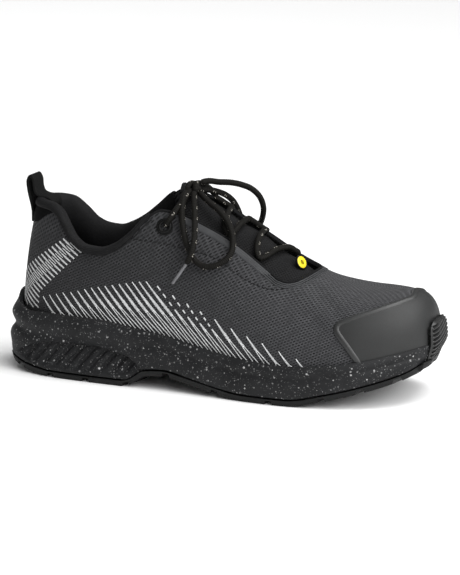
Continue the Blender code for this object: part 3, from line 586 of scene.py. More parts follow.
def makeStage():
    yaw, elevation = math.radians(view["yaw"]), math.radians(view["elevation"])
    level = math.cos(elevation)
    back = Vector((math.sin(yaw) * level, -math.cos(yaw) * level, math.sin(elevation)))
    place = Vector(toWorld(view["target"])) + back * view["distance"]
    camera = stand("camera", bpy.data.cameras.new("camera"), place, -back)
    camera.data.lens, camera.data.sensor_width = view["lens"], view["sensor"]
    camera.data.clip_end = view["clipEnd"]
    bpy.context.scene.camera = camera
    bpy.ops.object.select_all(action="DESELECT")
    bpy.ops.mesh.primitive_plane_add(size=view["floorSize"], location=(0, 0, -view["floorDrop"]))
    floor = bpy.context.object
    floor.name = "floor"
    material, _, shader = newMaterial("floor_pale", 0.9)
    shader.inputs["Base Color"].default_value = view["floorColour"]
    floor.data.materials.append(material)
    for name, place, size, watts in lampRows:
        lamp = stand(name, bpy.data.lights.new(name, "AREA"), place, Vector(view["lampAim"]) - Vector(place))
        lamp.data.size, lamp.data.energy = size, watts
    sun = stand("sky", bpy.data.lights.new("sky", "SUN"), (0, 0, 0), -Vector(view["sunFrom"]))
    sun.data.energy, sun.data.angle = view["sunStrength"], math.radians(view["sunAngle"])
    world = bpy.data.worlds.new("studio")
    bpy.context.scene.world = world
    world.use_nodes = True
    background = world.node_tree.nodes["Background"].inputs
    background["Color"].default_value = (1, 1, 1, 1)
    background["Strength"].default_value = view["worldStrength"]
    bpy.context.scene.view_settings.view_transform = "Standard"


makeStage()
print("stage set")


# Finishes
knitCell = {
    "wide": 0.4, "tall": 0.32, "outside": 1.35, "inside": 0.5, "strandLean": 0.35, "strandTurns": 25.1,
}
speckRows = [  # cells in a metre, share that show, size, paleness
    (300.0, 0.42, 0.17, 0.42), (520.0, 0.5, 0.22, 0.24), (1000.0, 0.55, 0.27, 0.1),
]
braid = {"strands": 8.0, "plait": 2.4, "tracer": 8.5, "fleck": 4.25}


def sums(tree):  # short names for the two commonest sums
    return [lambda a, b, kind=kind: calc(tree, kind, a, b) for kind in ("ADD", "MULTIPLY")]


def knitGroup():  # brick pattern of small holes between yarns, in millimetres of the chart
    tree, given, out = newGroup("knitCells", "Chart", ["Width", "Height"], ["Hole", "Relief", "Tint"])
    add, times = sums(tree)
    parts = chartParts(tree, given["Chart"])
    y = calc(tree, "DIVIDE", parts["Y"], given["Height"])
    row = calc(tree, "FLOOR", y)
    x = add(calc(tree, "DIVIDE", parts["X"], given["Width"]), calc(tree, "FRACT", times(row, 0.5)))
    cell = addNode(tree, "ShaderNodeCombineXYZ", {0: calc(tree, "FLOOR", x), 1: row}).outputs[0]
    scatter = addNode(tree, "ShaderNodeTexWhiteNoise", {"Vector": cell}, noise_dimensions="2D")
    chance = scatter.outputs["Value"]
    fx, fy = [calc(tree, "SUBTRACT", calc(tree, "FRACT", value), 0.5) for value in (x, y)]
    across = calc(tree, "DIVIDE", fx, knitCell["wide"])
    upward = calc(tree, "DIVIDE", fy, knitCell["tall"])
    apart = calc(tree, "SQRT", add(times(across, across), times(upward, upward)))
    hole = ramp(tree, apart, knitCell["outside"], knitCell["inside"])
    depth = times(hole, add(times(chance, 0.5), 0.5))
    strand = calc(tree, "SINE", times(add(x, times(y, knitCell["strandLean"])), knitCell["strandTurns"]))
    swell = calc(tree, "COSINE", times(fy, 6.283))
    yarn = add(times(strand, 0.12), times(swell, -0.18))
    feed(tree, out["Hole"], depth)
    feed(tree, out["Relief"], calc(tree, "SUBTRACT", yarn, depth))
    feed(tree, out["Tint"], add(times(chance, 0.5), 0.75))
    return tree


def grainGroup():  # fine moulded grain with soft larger clouds
    tree, given, out = newGroup("fineGrain", "Place", ["Scale"], ["Relief", "Cloud"])
    feed(tree, out["Relief"], noise(tree, given["Place"], given["Scale"], 3.0, 0.6))
    feed(tree, out["Cloud"], noise(tree, given["Place"], 60.0, 4.0, 0.6))
    return tree


def speckGroup():  # pale specks of chopped foam in one size
    tree, given, out = newGroup("foamSpecks", "Place", ["Scale", "Share", "Size"], ["Speck", "Chance"])
    add, times = sums(tree)
    bent = noise(tree, given["Place"], 900.0, 1.0)
    inputs = {"Vector": given["Place"], "Scale": given["Scale"], "Randomness": 1.0}
    cells = addNode(tree, "ShaderNodeTexVoronoi", inputs).outputs
    chance = addNode(tree, "ShaderNodeSeparateColor", {0: cells["Color"]}).outputs
    size = times(given["Size"], add(chance[1], 0.35))
    edge = add(cells["Distance"], times(calc(tree, "SUBTRACT", bent, 0.5), 0.12))
    inside = calc(tree, "LESS_THAN", edge, size)
    kept = calc(tree, "LESS_THAN", chance[0], given["Share"])
    feed(tree, out["Speck"], times(inside, kept))
    feed(tree, out["Chance"], chance[2])
    return tree


def weaveGroup():  # ribbed webbing, in millimetres of the chart
    tree, given, out = newGroup("ribWeave", "Chart", ["Pitch"], ["Relief", "Thread"])
    add, times = sums(tree)
    parts = chartParts(tree, given["Chart"])
    turns = [times(calc(tree, "DIVIDE", parts[axis], given["Pitch"]), 2 * halfTurn) for axis in "YX"]
    ends, picks = [calc(tree, "SINE", turn) for turn in turns]
    feed(tree, out["Relief"], add(times(ends, picks), times(ends, 0.6)))
    feed(tree, out["Thread"], noise(tree, given["Chart"], 1.3))
    return tree


knitCells, fineGrain, foamSpecks, ribWeave = knitGroup(), grainGroup(), speckGroup(), weaveGroup()


def knitMaterial(
        name, ground, hole, width=2.5, height=1.75, bump=0.7, relief=0.6, sheen=0.06, heelPaintedShade=1.0):
    material, tree, shader = newMaterial(
        name, 0.85, Sheen_Weight=sheen, Sheen_Roughness=0.5, Specular_IOR_Level=0.15)
    add, times = sums(tree)
    knit = placeGroup(tree, knitCells, {"Chart": chartPlace(tree), "Width": width, "Height": height})
    grain = placeGroup(tree, fineGrain, {"Place": objectPlace(tree), "Scale": 2600.0})
    heather = ramp(tree, grain["Relief"], 0.25, 0.75, 0.72, 1.28)
    along = chartParts(tree, objectPlace(tree))["X"]
    fade = ramp(tree, along, -0.09, 0.1, heelPaintedShade, 1.08)  # painted shade: the yarn's colour is darkened towards the heel, where less light falls
    tone = times(knit["Tint"], times(heather, fade))
    tones = addNode(tree, "ShaderNodeCombineColor", {0: tone, 1: tone, 2: tone}).outputs[0]
    yarn = mixColour(tree, 1.0, shaded(ground, 1), tones, "MULTIPLY")
    colour = mixColour(tree, knit["Hole"], yarn, shaded(hole, 1))
    rough = ramp(tree, grain["Cloud"], 0.3, 0.7, 0.74, 0.9)
    dress(tree, shader, colour, rough, add(knit["Relief"], times(grain["Relief"], 0.35)), bump, relief)
    return material


def grainMaterial(name, colour, roughness, scale, bump, relief, spread=0.25, specular=0.5):
    material, tree, shader = newMaterial(name, roughness, Specular_IOR_Level=specular)
    grain = placeGroup(tree, fineGrain, {"Place": objectPlace(tree), "Scale": scale})
    cloud = ramp(tree, grain["Cloud"], 0.3, 0.7)
    mixed = mixColour(tree, cloud, shaded(colour, 1 - spread), shaded(colour, 1 + spread))
    rough = ramp(tree, grain["Relief"], 0.25, 0.75, roughness - 0.08, roughness + 0.08)
    dress(tree, shader, mixed, rough, grain["Relief"], bump, relief)
    return material


def foamMaterial():
    material, tree, shader = newMaterial("foam_speckled", 0.62, Specular_IOR_Level=0.22)
    place = objectPlace(tree)
    grain = placeGroup(tree, fineGrain, {"Place": place, "Scale": 1800.0})
    cloud = ramp(tree, grain["Cloud"], 0.3, 0.7)
    colour = mixColour(tree, cloud, (0.0075, 0.0078, 0.0085, 1), (0.0135, 0.0139, 0.0149, 1))
    for scale, share, size, pale in speckRows:
        specks = placeGroup(tree, foamSpecks, {"Place": place, "Scale": scale, "Share": share, "Size": size})
        strength = calc(tree, "MULTIPLY", specks["Speck"], ramp(tree, specks["Chance"], 0.0, 1.0, 0.35, 1.0))
        colour = mixColour(tree, strength, colour, (pale, pale, pale, 1))
    rough = ramp(tree, grain["Relief"], 0.3, 0.7, 0.54, 0.7)
    dress(tree, shader, colour, rough, grain["Relief"], 0.3, 0.25)
    return material


def weaveMaterial(name, colour, pitch, bump=0.5):
    material, tree, shader = newMaterial(name, 0.8, Specular_IOR_Level=0.08)
    weave = placeGroup(tree, ribWeave, {"Chart": chartPlace(tree), "Pitch": pitch})
    # painted shade and highlight: the colour is darker in the weave's hollows and lighter on its raised
    # threads, with random thread tone
    tone = ramp(tree, calc(tree, "ADD", weave["Relief"], weave["Thread"]), -1.0, 2.0)
    mixed = mixColour(tree, tone, shaded(colour, 0.5), shaded(colour, 1.6))
    rough = ramp(tree, weave["Thread"], 0.3, 0.7, 0.7, 0.9)
    dress(tree, shader, mixed, rough, weave["Relief"], bump, 0.15)
    return material


def laceMaterial():  # braid with two pale tracer yarns that show where they come to the top
    material, tree, shader = newMaterial("lace_braid", 0.72, Specular_IOR_Level=0.12)
    add, times = sums(tree)
    chart = chartPlace(tree)
    parts = chartParts(tree, chart)
    along, turn = parts["X"], parts["Y"]

    def fromHalf(value):  # distance of a value's fraction from one half
        return calc(tree, "ABSOLUTE", calc(tree, "SUBTRACT", calc(tree, "FRACT", value), 0.5))

    strands, flecks = [], []
    for lean, phase in ((1, 0.0), (-1, 0.35)):
        strand = add(times(turn, braid["strands"]), times(along, lean / braid["plait"]))
        strands.append(calc(tree, "COSINE", times(strand, 2 * halfTurn)))
        spiral = add(add(turn, phase), times(along, lean / braid["tracer"]))
        near = ramp(tree, fromHalf(spiral), 0.036, 0.018)
        shows = ramp(tree, fromHalf(add(calc(tree, "DIVIDE", along, braid["fleck"]), phase)), 0.1, 0.06)
        flecks.append(times(near, shows))
    relief = times(*strands)
    fuzz = noise(tree, chart, 2.0)
    # painted shade and highlight: the braid is darker between its strands and lighter on their raised tops,
    # with random fuzz
    tone = times(ramp(tree, relief, -1.0, 1.0), fuzz)
    base = mixColour(tree, tone, (0.0025, 0.0024, 0.002, 1), (0.016, 0.0148, 0.0125, 1))
    mixed = mixColour(tree, calc(tree, "MAXIMUM", *flecks), base, (0.36, 0.34, 0.3, 1))
    dress(tree, shader, mixed, ramp(tree, fuzz, 0.3, 0.7, 0.62, 0.82), add(relief, fuzz), 0.4, 0.25)
    return material


# the charcoal knit is darkened towards the heel by painted shade
knitGrey = knitMaterial("knit_charcoal", (0.05, 0.0505, 0.0536), (0.003, 0.003, 0.0033), heelPaintedShade=0.62)
knitPale = knitMaterial("knit_stripe_pale", (0.55, 0.56, 0.56), (0.33, 0.33, 0.34), 1.1, 1.0, 0.35, 0.25)
knitBlack = knitMaterial(
    "knit_tongue_black", (0.012, 0.012, 0.0126), (0.001, 0.001, 0.001), 1.9, 1.3, sheen=0.0)
liningBlack = knitMaterial(
    "lining_black", (0.0025, 0.0025, 0.0026), (0.001, 0.001, 0.001), 1.4, 1.0, 0.3, 0.25, 0.0)
liningSoft = knitMaterial(
    "lining_soft", (0.0085, 0.0085, 0.009), (0.004, 0.004, 0.0042), 1.3, 0.9, 0.3, 0.2, 0.0)
insoleFelt = knitMaterial("insole_felt", (0.025, 0.025, 0.026), (0.01, 0.01, 0.01), 1.6, 1.2, 0.4, 0.3)
foamGrey = foamMaterial()
rubberBlack = grainMaterial("rubber_black", (0.0045, 0.0047, 0.0047), 0.62, 900.0, 0.25, 0.3, specular=0.25)
# the toe wrap's rubber is a lighter copy of the sole's black rubber: painted light on its ribs, with a
# smoother satin finish
rubberSatinPaintedLight = grainMaterial("rubber_satin", (0.011, 0.0112, 0.0112), 0.42, 900.0, 0.15, 0.2)
capPlastic = grainMaterial("cap_satin", (0.0115, 0.012, 0.012), 0.58, 2200.0, 0.12, 0.12, 0.12, 0.45)
# the border's satin is a lighter copy of the cap's, a painted highlight where the raised border catches the
# light
capBorderPaintedHighlight = grainMaterial("cap_border_satin", (0.018, 0.0187, 0.0186), 0.44, 2200.0, 0.12, 0.12, 0.12)
filmGrey = grainMaterial("facing_grey", (0.03, 0.031, 0.033), 0.6, 1700.0, 0.2, 0.15, specular=0.3)
microBlack = grainMaterial("microfibre_black", (0.004, 0.004, 0.0042), 0.85, 1900.0, 0.3, 0.2, specular=0.05)
threadDark = grainMaterial("thread_dark", (0.008, 0.008, 0.0085), 0.7, 2400.0, 0.4, 0.2, specular=0.2)
eyeletBlack = grainMaterial("eyelet_black", (0.003, 0.003, 0.003), 0.42, 1500.0, 0.1, 0.1, specular=0.15)
tagYellow = grainMaterial("tag_yellow", (0.82, 0.63, 0.015), 0.4, 1200.0, 0.08, 0.1, 0.06)
tipGrey = grainMaterial("tip_grey", (0.13, 0.13, 0.137), 0.4, 700.0, 0.2, 0.2, 0.2)
bindingBlack = weaveMaterial("binding_black", (0.008, 0.008, 0.0084), 0.55, 0.3)
webBlack = weaveMaterial("webbing_black", (0.006, 0.006, 0.006), 1.1)
laceBraid = laceMaterial()
print("finishes made")


# Lace: the bow's routes are those of the frame, in millimetres from the heel
lace = {"radius": 2.0, "sides": 20, "step": 0.5, "tipRadius": 1.1, "tipSides": 14, "plaitDepth": 0.06}
bowRoutes = {
    "laceLoopOuter": [
        (134.6, -4.6, 125.4), (138.5, -6.8, 123.2), (144.0, -8.5, 119.5), (151.5, -10.5, 115.0),
        (158.5, -13.5, 108.5), (163.5, -18.5, 101.0), (165.5, -24.0, 93.5), (163.5, -28.0, 88.0),
        (158.0, -31.0, 84.0), (151.5, -32.5, 82.5), (145.5, -32.5, 84.0), (140.0, -31.5, 89.0),
        (135.5, -29.5, 97.0), (132.0, -26.0, 105.5), (129.0, -20.5, 114.0), (126.8, -12.5, 122.6),
        (127.3, -6.6, 126.2),
    ],
    "laceEndOuter": [
        (131.9, -7.1, 126.0), (134.5, -13.0, 121.0), (138.0, -20.5, 112.5), (141.0, -28.0, 104.5),
        (142.5, -34.0, 96.5), (141.5, -37.0, 89.5), (139.0, -37.5, 84.5),
    ],
    "laceLoopInner": [
        (133.8, -0.2, 131.0), (138.0, 4.2, 131.6), (143.5, 8.0, 130.6), (151.0, 11.0, 130.2),
        (157.5, 14.0, 128.6), (163.2, 17.0, 125.7), (167.5, 20.5, 120.0), (168.5, 24.5, 112.0),
        (165.5, 29.0, 103.0), (160.5, 32.0, 96.5), (154.5, 32.0, 96.0), (151.5, 29.0, 102.0),
        (150.5, 24.5, 109.5), (149.0, 19.0, 116.5), (145.5, 13.5, 121.5), (140.5, 8.0, 124.5),
        (136.0, 4.5, 125.6), (132.5, 1.5, 125.8),
    ],
    "laceEndInner": [
        (128.4, 2.7, 129.3), (130.5, 9.5, 128.4), (134.0, 17.0, 123.5), (135.5, 23.0, 117.0),
        (136.5, 27.5, 109.0), (136.5, 30.0, 100.5), (135.5, 31.5, 92.5),
    ],
}
tipRoutes = {
    "laceTipOuter": [(139.0, -37.5, 84.5), (134.5, -38.9, 77.5), (130.0, -39.8, 71.0)],
    "laceTipInner": [(135.5, 31.5, 92.5), (133.0, 33.0, 84.5), (130.5, 34.0, 77.0)],
}
bowNodes = {
    "laceLoopOuter": "lace_loop_lateral", "laceEndOuter": "lace_end_lateral",
    "laceLoopInner": "lace_loop_medial", "laceEndInner": "lace_end_medial",
    "laceTipOuter": "lace_tip_lateral", "laceTipInner": "lace_tip_medial",
}


def plait(along, turn):  # raised diamonds of the braid
    strand, lean = braid["strands"] * turn, along / braid["plait"]
    first = np.cos(2 * halfTurn * (strand + lean))
    second = np.cos(2 * halfTurn * (strand - lean))
    return 1 + lace["plaitDepth"] * (first * second - 0.3)


def laceTube(name, route):
    return tube(name, resample(smoothLine(route), lace["step"]), lace["radius"], lace["sides"], plait)


def makeTip(name, route):  # pressed tube with a band at its start
    line = resample(smoothLine(route), lace["step"])

    def pressed(along, turn):
        band = 1 + 0.08 * np.exp(-((along - 1.5) / 0.5) ** 2)
        return band * (1 - 0.1 * np.abs(np.cos(2 * halfTurn * turn)))

    obj = tube(name, line, lace["tipRadius"], lace["tipSides"], pressed)
    return finishPiece(obj, tipGrey, [bowNodes[name]], 60)


def makeBow():
    tips = {name: makeTip(name, route) for name, route in tipRoutes.items()}
    for name, route in bowRoutes.items():
        obj = finishPiece(laceTube(name, route), laceBraid, [bowNodes[name]], 60)


makeBow()


# Upper: one knitted wall over the last, with soft troughs and swells
upper = {"backColumns": 150, "roundColumns": 22, "toeColumns": 84, "rows": 64, "wall": 2.0, "lean": 0.424}
seamRows = np.array([  # the eyestay's sewn edge, seen from the side: x, z
    (96.2, 96.8), (103.2, 96), (114.8, 95.3), (122.2, 94.4), (129, 92.8), (140, 91), (150, 88.5),
    (159.3, 85.1), (164.5, 81.7), (176.2, 75.7), (190, 70.9), (199.3, 70.5), (209.5, 72),
    (214.9, 74.9), (217.2, 76.4),
])
creaseRows = [  # sides, start x and z, end x and z, half-width, height in millimetres
    ((lateral, medial), (62, 84), (98, 64), 9.0, -0.9),
    ((lateral, medial), (118, 84), (150, 62), 8.0, -0.6),
    ((lateral, medial), (205, 66), (232, 50), 5.0, -0.55),
    ((lateral, medial), (222, 70), (243, 56), 4.5, -0.45),
    ((lateral, medial), (214, 70), (238, 52), 4.0, 0.35),
    ((lateral, medial), (150, 48), (205, 40), 9.0, 0.5),
    ((lateral, medial), (20, 70), (30, 96), 9.0, 0.5),
    ((lateral,), (150, 86), (172, 74), 4.0, 0.4),
]
seamGroove = {"width": 1.5, "depth": 0.45}


def frontRibs(count):  # ribs round the front of the throat
    start = last["throatFront"] - last["throatRound"]
    return sAtUpperX(start + last["throatRound"] * np.sin(np.linspace(0, rightAngle, count)))


def throatStations():  # ribs along one side, closer together round the front of the throat
    roundS = frontRibs(upper["roundColumns"] + 1)
    back = np.linspace(0, roundS[0], upper["backColumns"] + 1)[:-1]
    toe = np.linspace(roundS[-1], 1, upper["toeColumns"] + 1)[1:]
    return np.concatenate([back, roundS, toe])


def seamHeights(side):  # the inner side's edge is higher, and its seam with it
    x, z = seamRows[:, 0], seamRows[:, 1].copy()
    if side == medial:
        z += (edgeMedial(x) - edgeLateral(x)) * smoothStep(215, 196, x)
    return x, z


def chartLine(x, z, side, step=1.0):  # line on the surface through points seen from the side
    line = resample(smoothLine(np.stack([x, z], -1), 6), step)
    return chartAt(line[:, 0], line[:, 1], side)


def segmentDistance(points, a, b):
    along = np.clip(((points - a) @ (b - a)) / ((b - a) @ (b - a)), 0, 1)
    return np.linalg.norm(points - a - along[..., None] * (b - a), axis=-1)


seamCharts = {}
for side in (lateral, medial):
    seamS, seamA = chartLine(*seamHeights(side), side)
    seamCharts[side] = (seamS, seamA, surfaceChart(seamS, side, seamA))


creaseCharts = {lateral: [], medial: []}
for sides, first, final, width, height in creaseRows:
    for side in sides:
        ends = [surfaceChart(s, side, angle) for s, angle in (chartAt(*first, side), chartAt(*final, side))]
        creaseCharts[side].append((*ends, width, height))


def reliefAt(s, side, angle, sewn=True):  # heights of the creases and of the sewn groove over the last
    places = surfaceChart(s, side, angle)
    out = np.zeros(s.shape)
    for one in (lateral, medial):
        here = side == one
        at = places[here]
        heights = np.zeros(len(at))
        for first, final, width, height in creaseCharts[one]:
            heights += height * np.exp(-(segmentDistance(at, first, final) / width) ** 2)
        if sewn:
            nearest = np.full(len(at), 1e9)
            for p in seamCharts[one][2]:
                nearest = np.minimum(nearest, np.linalg.norm(at - p, axis=-1))
            heights -= seamGroove["depth"] * np.exp(-(nearest / seamGroove["width"]) ** 2)
        out[here] = heights
    return out


def knitChart(s, side, angle):  # rows of the knit climb towards the toe and follow the ridge over the vamp
    place = surfaceChart(s, side, angle)
    around, up = place[..., 0], place[..., 1]
    lean = upper["lean"] * (1 - 0.55 * smoothStep(math.radians(15), math.radians(90), angle))
    return np.stack([around + lean * up, up - lean * around], -1)


def makeUpper():
    stations = throatStations()
    count, rows = len(stations) - 1, upper["rows"]
    edges = {side: edgeAngle(stations, side) for side in (lateral, medial)}

    def place(i, k):
        side = np.where(i < count, medial, lateral)
        index = np.abs(i - count)
        s = stations[index]
        edge = np.where(side < 0, edges[lateral][index], edges[medial][index])
        angle = edge * k / rows
        fade = smoothStep(0, 0.06, s) * smoothStep(1, 0.9, s)
        points = offsetSkin(s, side, angle, reliefAt(s, side, angle) * fade)
        return points, knitChart(s, side, angle)

    obj = drapedGrid("upperKnit", 2 * count, rows, place)
    edit(obj, mergeClose(0.02))
    turnSide(obj)
    corners = [v.co for v in obj.data.vertices]
    tree = BVHTree.FromPolygons(corners, [tuple(f.vertices) for f in obj.data.polygons])
    thicken(obj, upper["wall"], material_offset=1, material_offset_rim=1)
    return finishPiece(obj, [knitGrey, liningBlack], ["upper"], 60), tree


upperPiece, upperTree = makeUpper()


def snap(points, lift=0.0):  # the nearest places on the upper's outer face, raised by a lift
    lift = np.broadcast_to(lift, len(points))
    places, normals = [], []
    for p, h in zip(toWorld(points), lift):
        spot, normal, _, _ = upperTree.find_nearest(Vector(p))
        places.append(np.array(spot) / mm + middle + np.array(normal) * h)
        normals.append(np.array(normal))
    return np.array(places), np.array(normals)


print("upper draped,", len(upperPiece.data.polygons), "faces")


# Stripes: pale yarn laid into the knit, heights read along the outer side
stripes = {
    "firstFoot": 54.6, "pitch": 7.3, "frontPitch": 8.4, "frontFrom": 19, "count": 26,
    "sink": 1.5, "least": 2.5, "topWidth": 0.8, "fullWidth": 1.95, "lineWidth": 0.68,
    "dashWidth": 1.1, "spread": 3.7, "tall": 14, "splitAt": 0.5, "shortSplit": 0.16, "overlap": 0.04,
    "lift": 0.3, "thickness": 0.35, "step": 0.6,
}
dashShares = [(1.0, 0.93), (0.87, 0.81), (0.74, 0.68)]
stripeTops = np.array([  # distance along the outline, height of the band's upper border
    (42.2, 51.6), (46, 52.7), (59.5, 56.1), (71.8, 58.6), (84, 62), (95.7, 64.4), (107.5, 66.8),
    (119.9, 68.9), (126.4, 69.6), (134.3, 67.3), (145.3, 62.2), (155.7, 57.6), (164.4, 54), (174.9, 50.6),
    (185.6, 46.9), (197.9, 42.4), (208.3, 39.6), (221.6, 35.2), (235.4, 30.7), (246, 28),
])
heelStripes = {"count": 24, "top": (60.6, 94.3), "topStep": (3.15, 2.05), "foot": (75.0, 85.8),
               "footStep": (2.6, 2.3), "width": 1.4, "longFrom": 13, "longer": 0.1}


def rimAt(distance):
    return rimZ(planPoint(tAt(distance / outlineLength), lateral, 0, 0, 0)[0])


def ragged(lengths, seed):  # uneven edge of yarn, the same each time
    teeth = np.abs(((lengths + seed * 0.37) / 1.3) % 1 - 0.5) * 2
    return 0.86 + 0.2 * teeth + 0.07 * np.sin(lengths * 2.1 + seed * 1.7)


def stripeStrip(name, path, widths, side, seed):  # path of (distance, height), widths along it
    path = np.asarray(path, float)
    lengths = lengthsAlong(path)
    count = max(3, int(lengths[-1] / stripes["step"]))
    at = np.linspace(0, lengths[-1], count + 1)
    line = readLine(at, lengths, path)
    half = np.interp(at, lengths, widths) / 2 * ragged(at, seed)
    tangent = unit(np.gradient(line, axis=0))
    normal = np.stack([-tangent[:, 1], tangent[:, 0]], -1)

    def place(i, k):
        p = line[i] + normal[i] * (half[i] * (k - 1))[:, None]
        s = np.abs(p[:, 0]) / outlineLength
        sides = np.where(p[:, 0] < 0, -side, side)
        angle = angleAtHeight(s, sides, p[:, 1])
        lift = stripes["lift"] - 0.14 * np.abs(k - 1)
        relief = reliefAt(s, sides, angle, False) * smoothStep(0, 0.06, s)
        points = offsetSkin(s, sides, angle, lift + relief)
        return points, np.stack([at[i], half[i] * (k - 1)], -1)

    return drapedGrid(name, count, 2, place)


def bandStrips(side):
    made = []
    for i in range(stripes["count"]):
        foot = stripes["firstFoot"] + stripes["pitch"] * min(i, stripes["frontFrom"])
        foot += stripes["frontPitch"] * max(0, i - stripes["frontFrom"])
        base = rimAt(foot) - stripes["sink"]
        rise = np.linspace(0, 60, 121)
        tops = np.interp(foot - rise, stripeTops[:, 0], stripeTops[:, 1], left=0)
        over = np.nonzero(base + rise > tops)[0]
        height = rise[over[0]] if len(over) else 0
        if height < stripes["least"]:
            continue

        def along(share, apart=0.0):
            h = height * share
            return np.stack([foot - (1.1 * h - 0.1 * h * share) + apart, base + h], -1)

        full = stripes["fullWidth"]
        split = stripes["splitAt"] if height > stripes["tall"] else stripes["shortSplit"]
        top = np.linspace(1, split - stripes["overlap"], 14)
        topWidths = np.interp(top, [split, split + 0.12, 1], [full, full, stripes["topWidth"]])
        topWidths = topWidths * min(1.0, 0.55 + height / 60)
        lost = smoothStep(128, 136, foot - height) * smoothStep(172, 164, foot - height)
        if lost > 0.5:  # the band's upper border breaks into dashes here
            for n, (first, final) in enumerate(dashShares):
                part = np.linspace(first, final, 5)
                made.append(stripeStrip("dash", along(part), np.full(5, stripes["dashWidth"]), side, i + n))
            top = np.linspace(0.62, split - stripes["overlap"], 8)
            topWidths = np.linspace(1.0, full, 8)
        made.append(stripeStrip("stripe", along(top), topWidths, side, i))
        low = np.linspace(split, 0, 14)
        opening = (split - low) / split
        for sign in (1, -1):
            apart = sign * (0.55 + 0.5 * (stripes["spread"] - 1.1) * opening ** 0.8)
            widths = np.interp(opening, [0, 0.15, 1], [0.6, stripes["lineWidth"], stripes["lineWidth"]])
            made.append(stripeStrip("line", along(low, apart), widths, side, i + 0.5 * sign))
    return made


def heelStrips(side):  # two rows of teeth that mesh halfway down the band
    made = []
    h = heelStripes
    top, foot = np.array(h["top"]), np.array(h["foot"])
    topStep, footStep = np.array(h["topStep"]), np.array(h["footStep"])
    for i in range(h["count"]):
        # near the heel's back they run down to the sole
        longest = 1 + h["longer"] * max(0, i - h["longFrom"])
        for shift, shares, widths in ((0.0, (0.0, 0.25, 0.67), (1.1, h["width"], 0.3)),
                                      (0.5, (0.33, 0.75, longest), (0.3, h["width"], 1.0))):
            first, final = top - topStep * (i + shift), foot - footStep * (i + shift)
            limit = rimAt(abs(final[0])) - stripes["sink"]
            reach = min(longest, (first[1] - limit) / (first[1] - final[1]))
            if reach < shares[0] + 0.15:
                continue
            share = np.linspace(shares[0], min(shares[2], reach), 12)
            path = first + (final - first) * share[:, None]
            made.append(stripeStrip("tooth", path, np.interp(share, shares, widths), side, i + shift))
    return made


def makeStripes(side, name):
    obj = join(bandStrips(side) + heelStrips(side), name)
    thicken(obj, stripes["thickness"])
    return finishPiece(obj, knitPale, (), 50)


for side, name in ((lateral, "stripesOuter"), (medial, "stripesInner")):
    piece = makeStripes(side, name)
    print(name, len(piece.data.polygons), "faces")


# Midsole: foam cup with a wavy heel, a raised heel tab and a carved recess low on both sides of the heel
midsole = {
    "fineStep": 0.75, "step": 2.0, "fineStart": 6, "fineEnd": 116.0, "rows": 46, "wall": 3.0, "foot": 4.1,
    "ribPitch": 8.7, "ribStart": 31.5, "ribLean": 0.85, "ribDepth": 2.0, "recessDepth": 3.4,
    "tabHeight": 4.0, "tabWidth": 17.0, "tabLean": 3.4,
}
heelWaves = [(1.6, 36, 4.5), (-2.2, 29.5, 2.6), (1.2, 22.5, 4)]  # bulge, its height, its half-width
wallSteps = np.array([  # lift over the plate, share of the wall's height, inset at sides, inset at the toe
    (0, 0, 2.4, 2.4), (1.7, 0, 2.4, 2.4), (2.3, 0, 0.6, 0.6), (2.3, 0.22, 0, 0), (2.3, 0.45, 0.6, 0.2),
    (2.3, 0.6, 2.3, 0.4), (2.3, 0.78, 1.2, 0.4), (2.3, 1, 3.2, 0.6),
])
recessTop = smoothCurve(
    [6, 17.8, 27.8, 37, 48.7, 60.9, 72.9, 81.9, 90, 99.6, 106, 113],
    [13, 16.7, 21.3, 23.9, 24.7, 25.4, 25.3, 24.3, 22.5, 20.2, 15.4, 12.5],
)
recessFoot = smoothCurve([6, 14.4, 24, 41, 79, 94, 108, 113], [12.9, 11.6, 7.6, 6.0, 6.2, 7.4, 11.2, 12.4])


def recessAt(x, z):  # depth of the carved pattern low on the heel
    high, low = recessTop(x), recessFoot(x)
    tall = np.maximum(high - low, 0.5)
    share = np.clip((z - low) / tall, 0, 1)
    ends = smoothStep(10, 22, x) * smoothStep(112, 100, x)
    inside = smoothStep(0, 0.12, share) * smoothStep(1.0, 0.93, share)
    floorDepth = midsole["recessDepth"] * share ** 0.7 * inside
    wave = (x - midsole["ribLean"] * (z - 15) - midsole["ribStart"]) / midsole["ribPitch"]
    gap = np.abs(wave - np.round(wave))
    cut = midsole["ribDepth"] * smoothStep(0.3, 0.12, gap)
    cut = cut * smoothStep(0.05, 0.3, share) * smoothStep(1.0, 0.8, share)
    return (floorDepth + cut) * ends


toeTuck = {"reach": 6.0, "start": 284.0, "low": 24.0, "high": 40.0, "centre": 7.0,
           "near": 3.0, "far": 15.0, "ease": 0.55}


def tucked(points):  # the foot of the toe drawn back under the ribs
    ahead = smoothStep(toeTuck["start"], last["soleLength"], points[:, 0])
    low = smoothStep(toeTuck["high"], toeTuck["low"], points[:, 2])
    aside = toeTuck["centre"] - points[:, 1]
    eased = 1 - toeTuck["ease"] * smoothStep(toeTuck["near"], toeTuck["far"], aside)
    points[:, 0] -= toeTuck["reach"] * ahead * low * eased
    return points


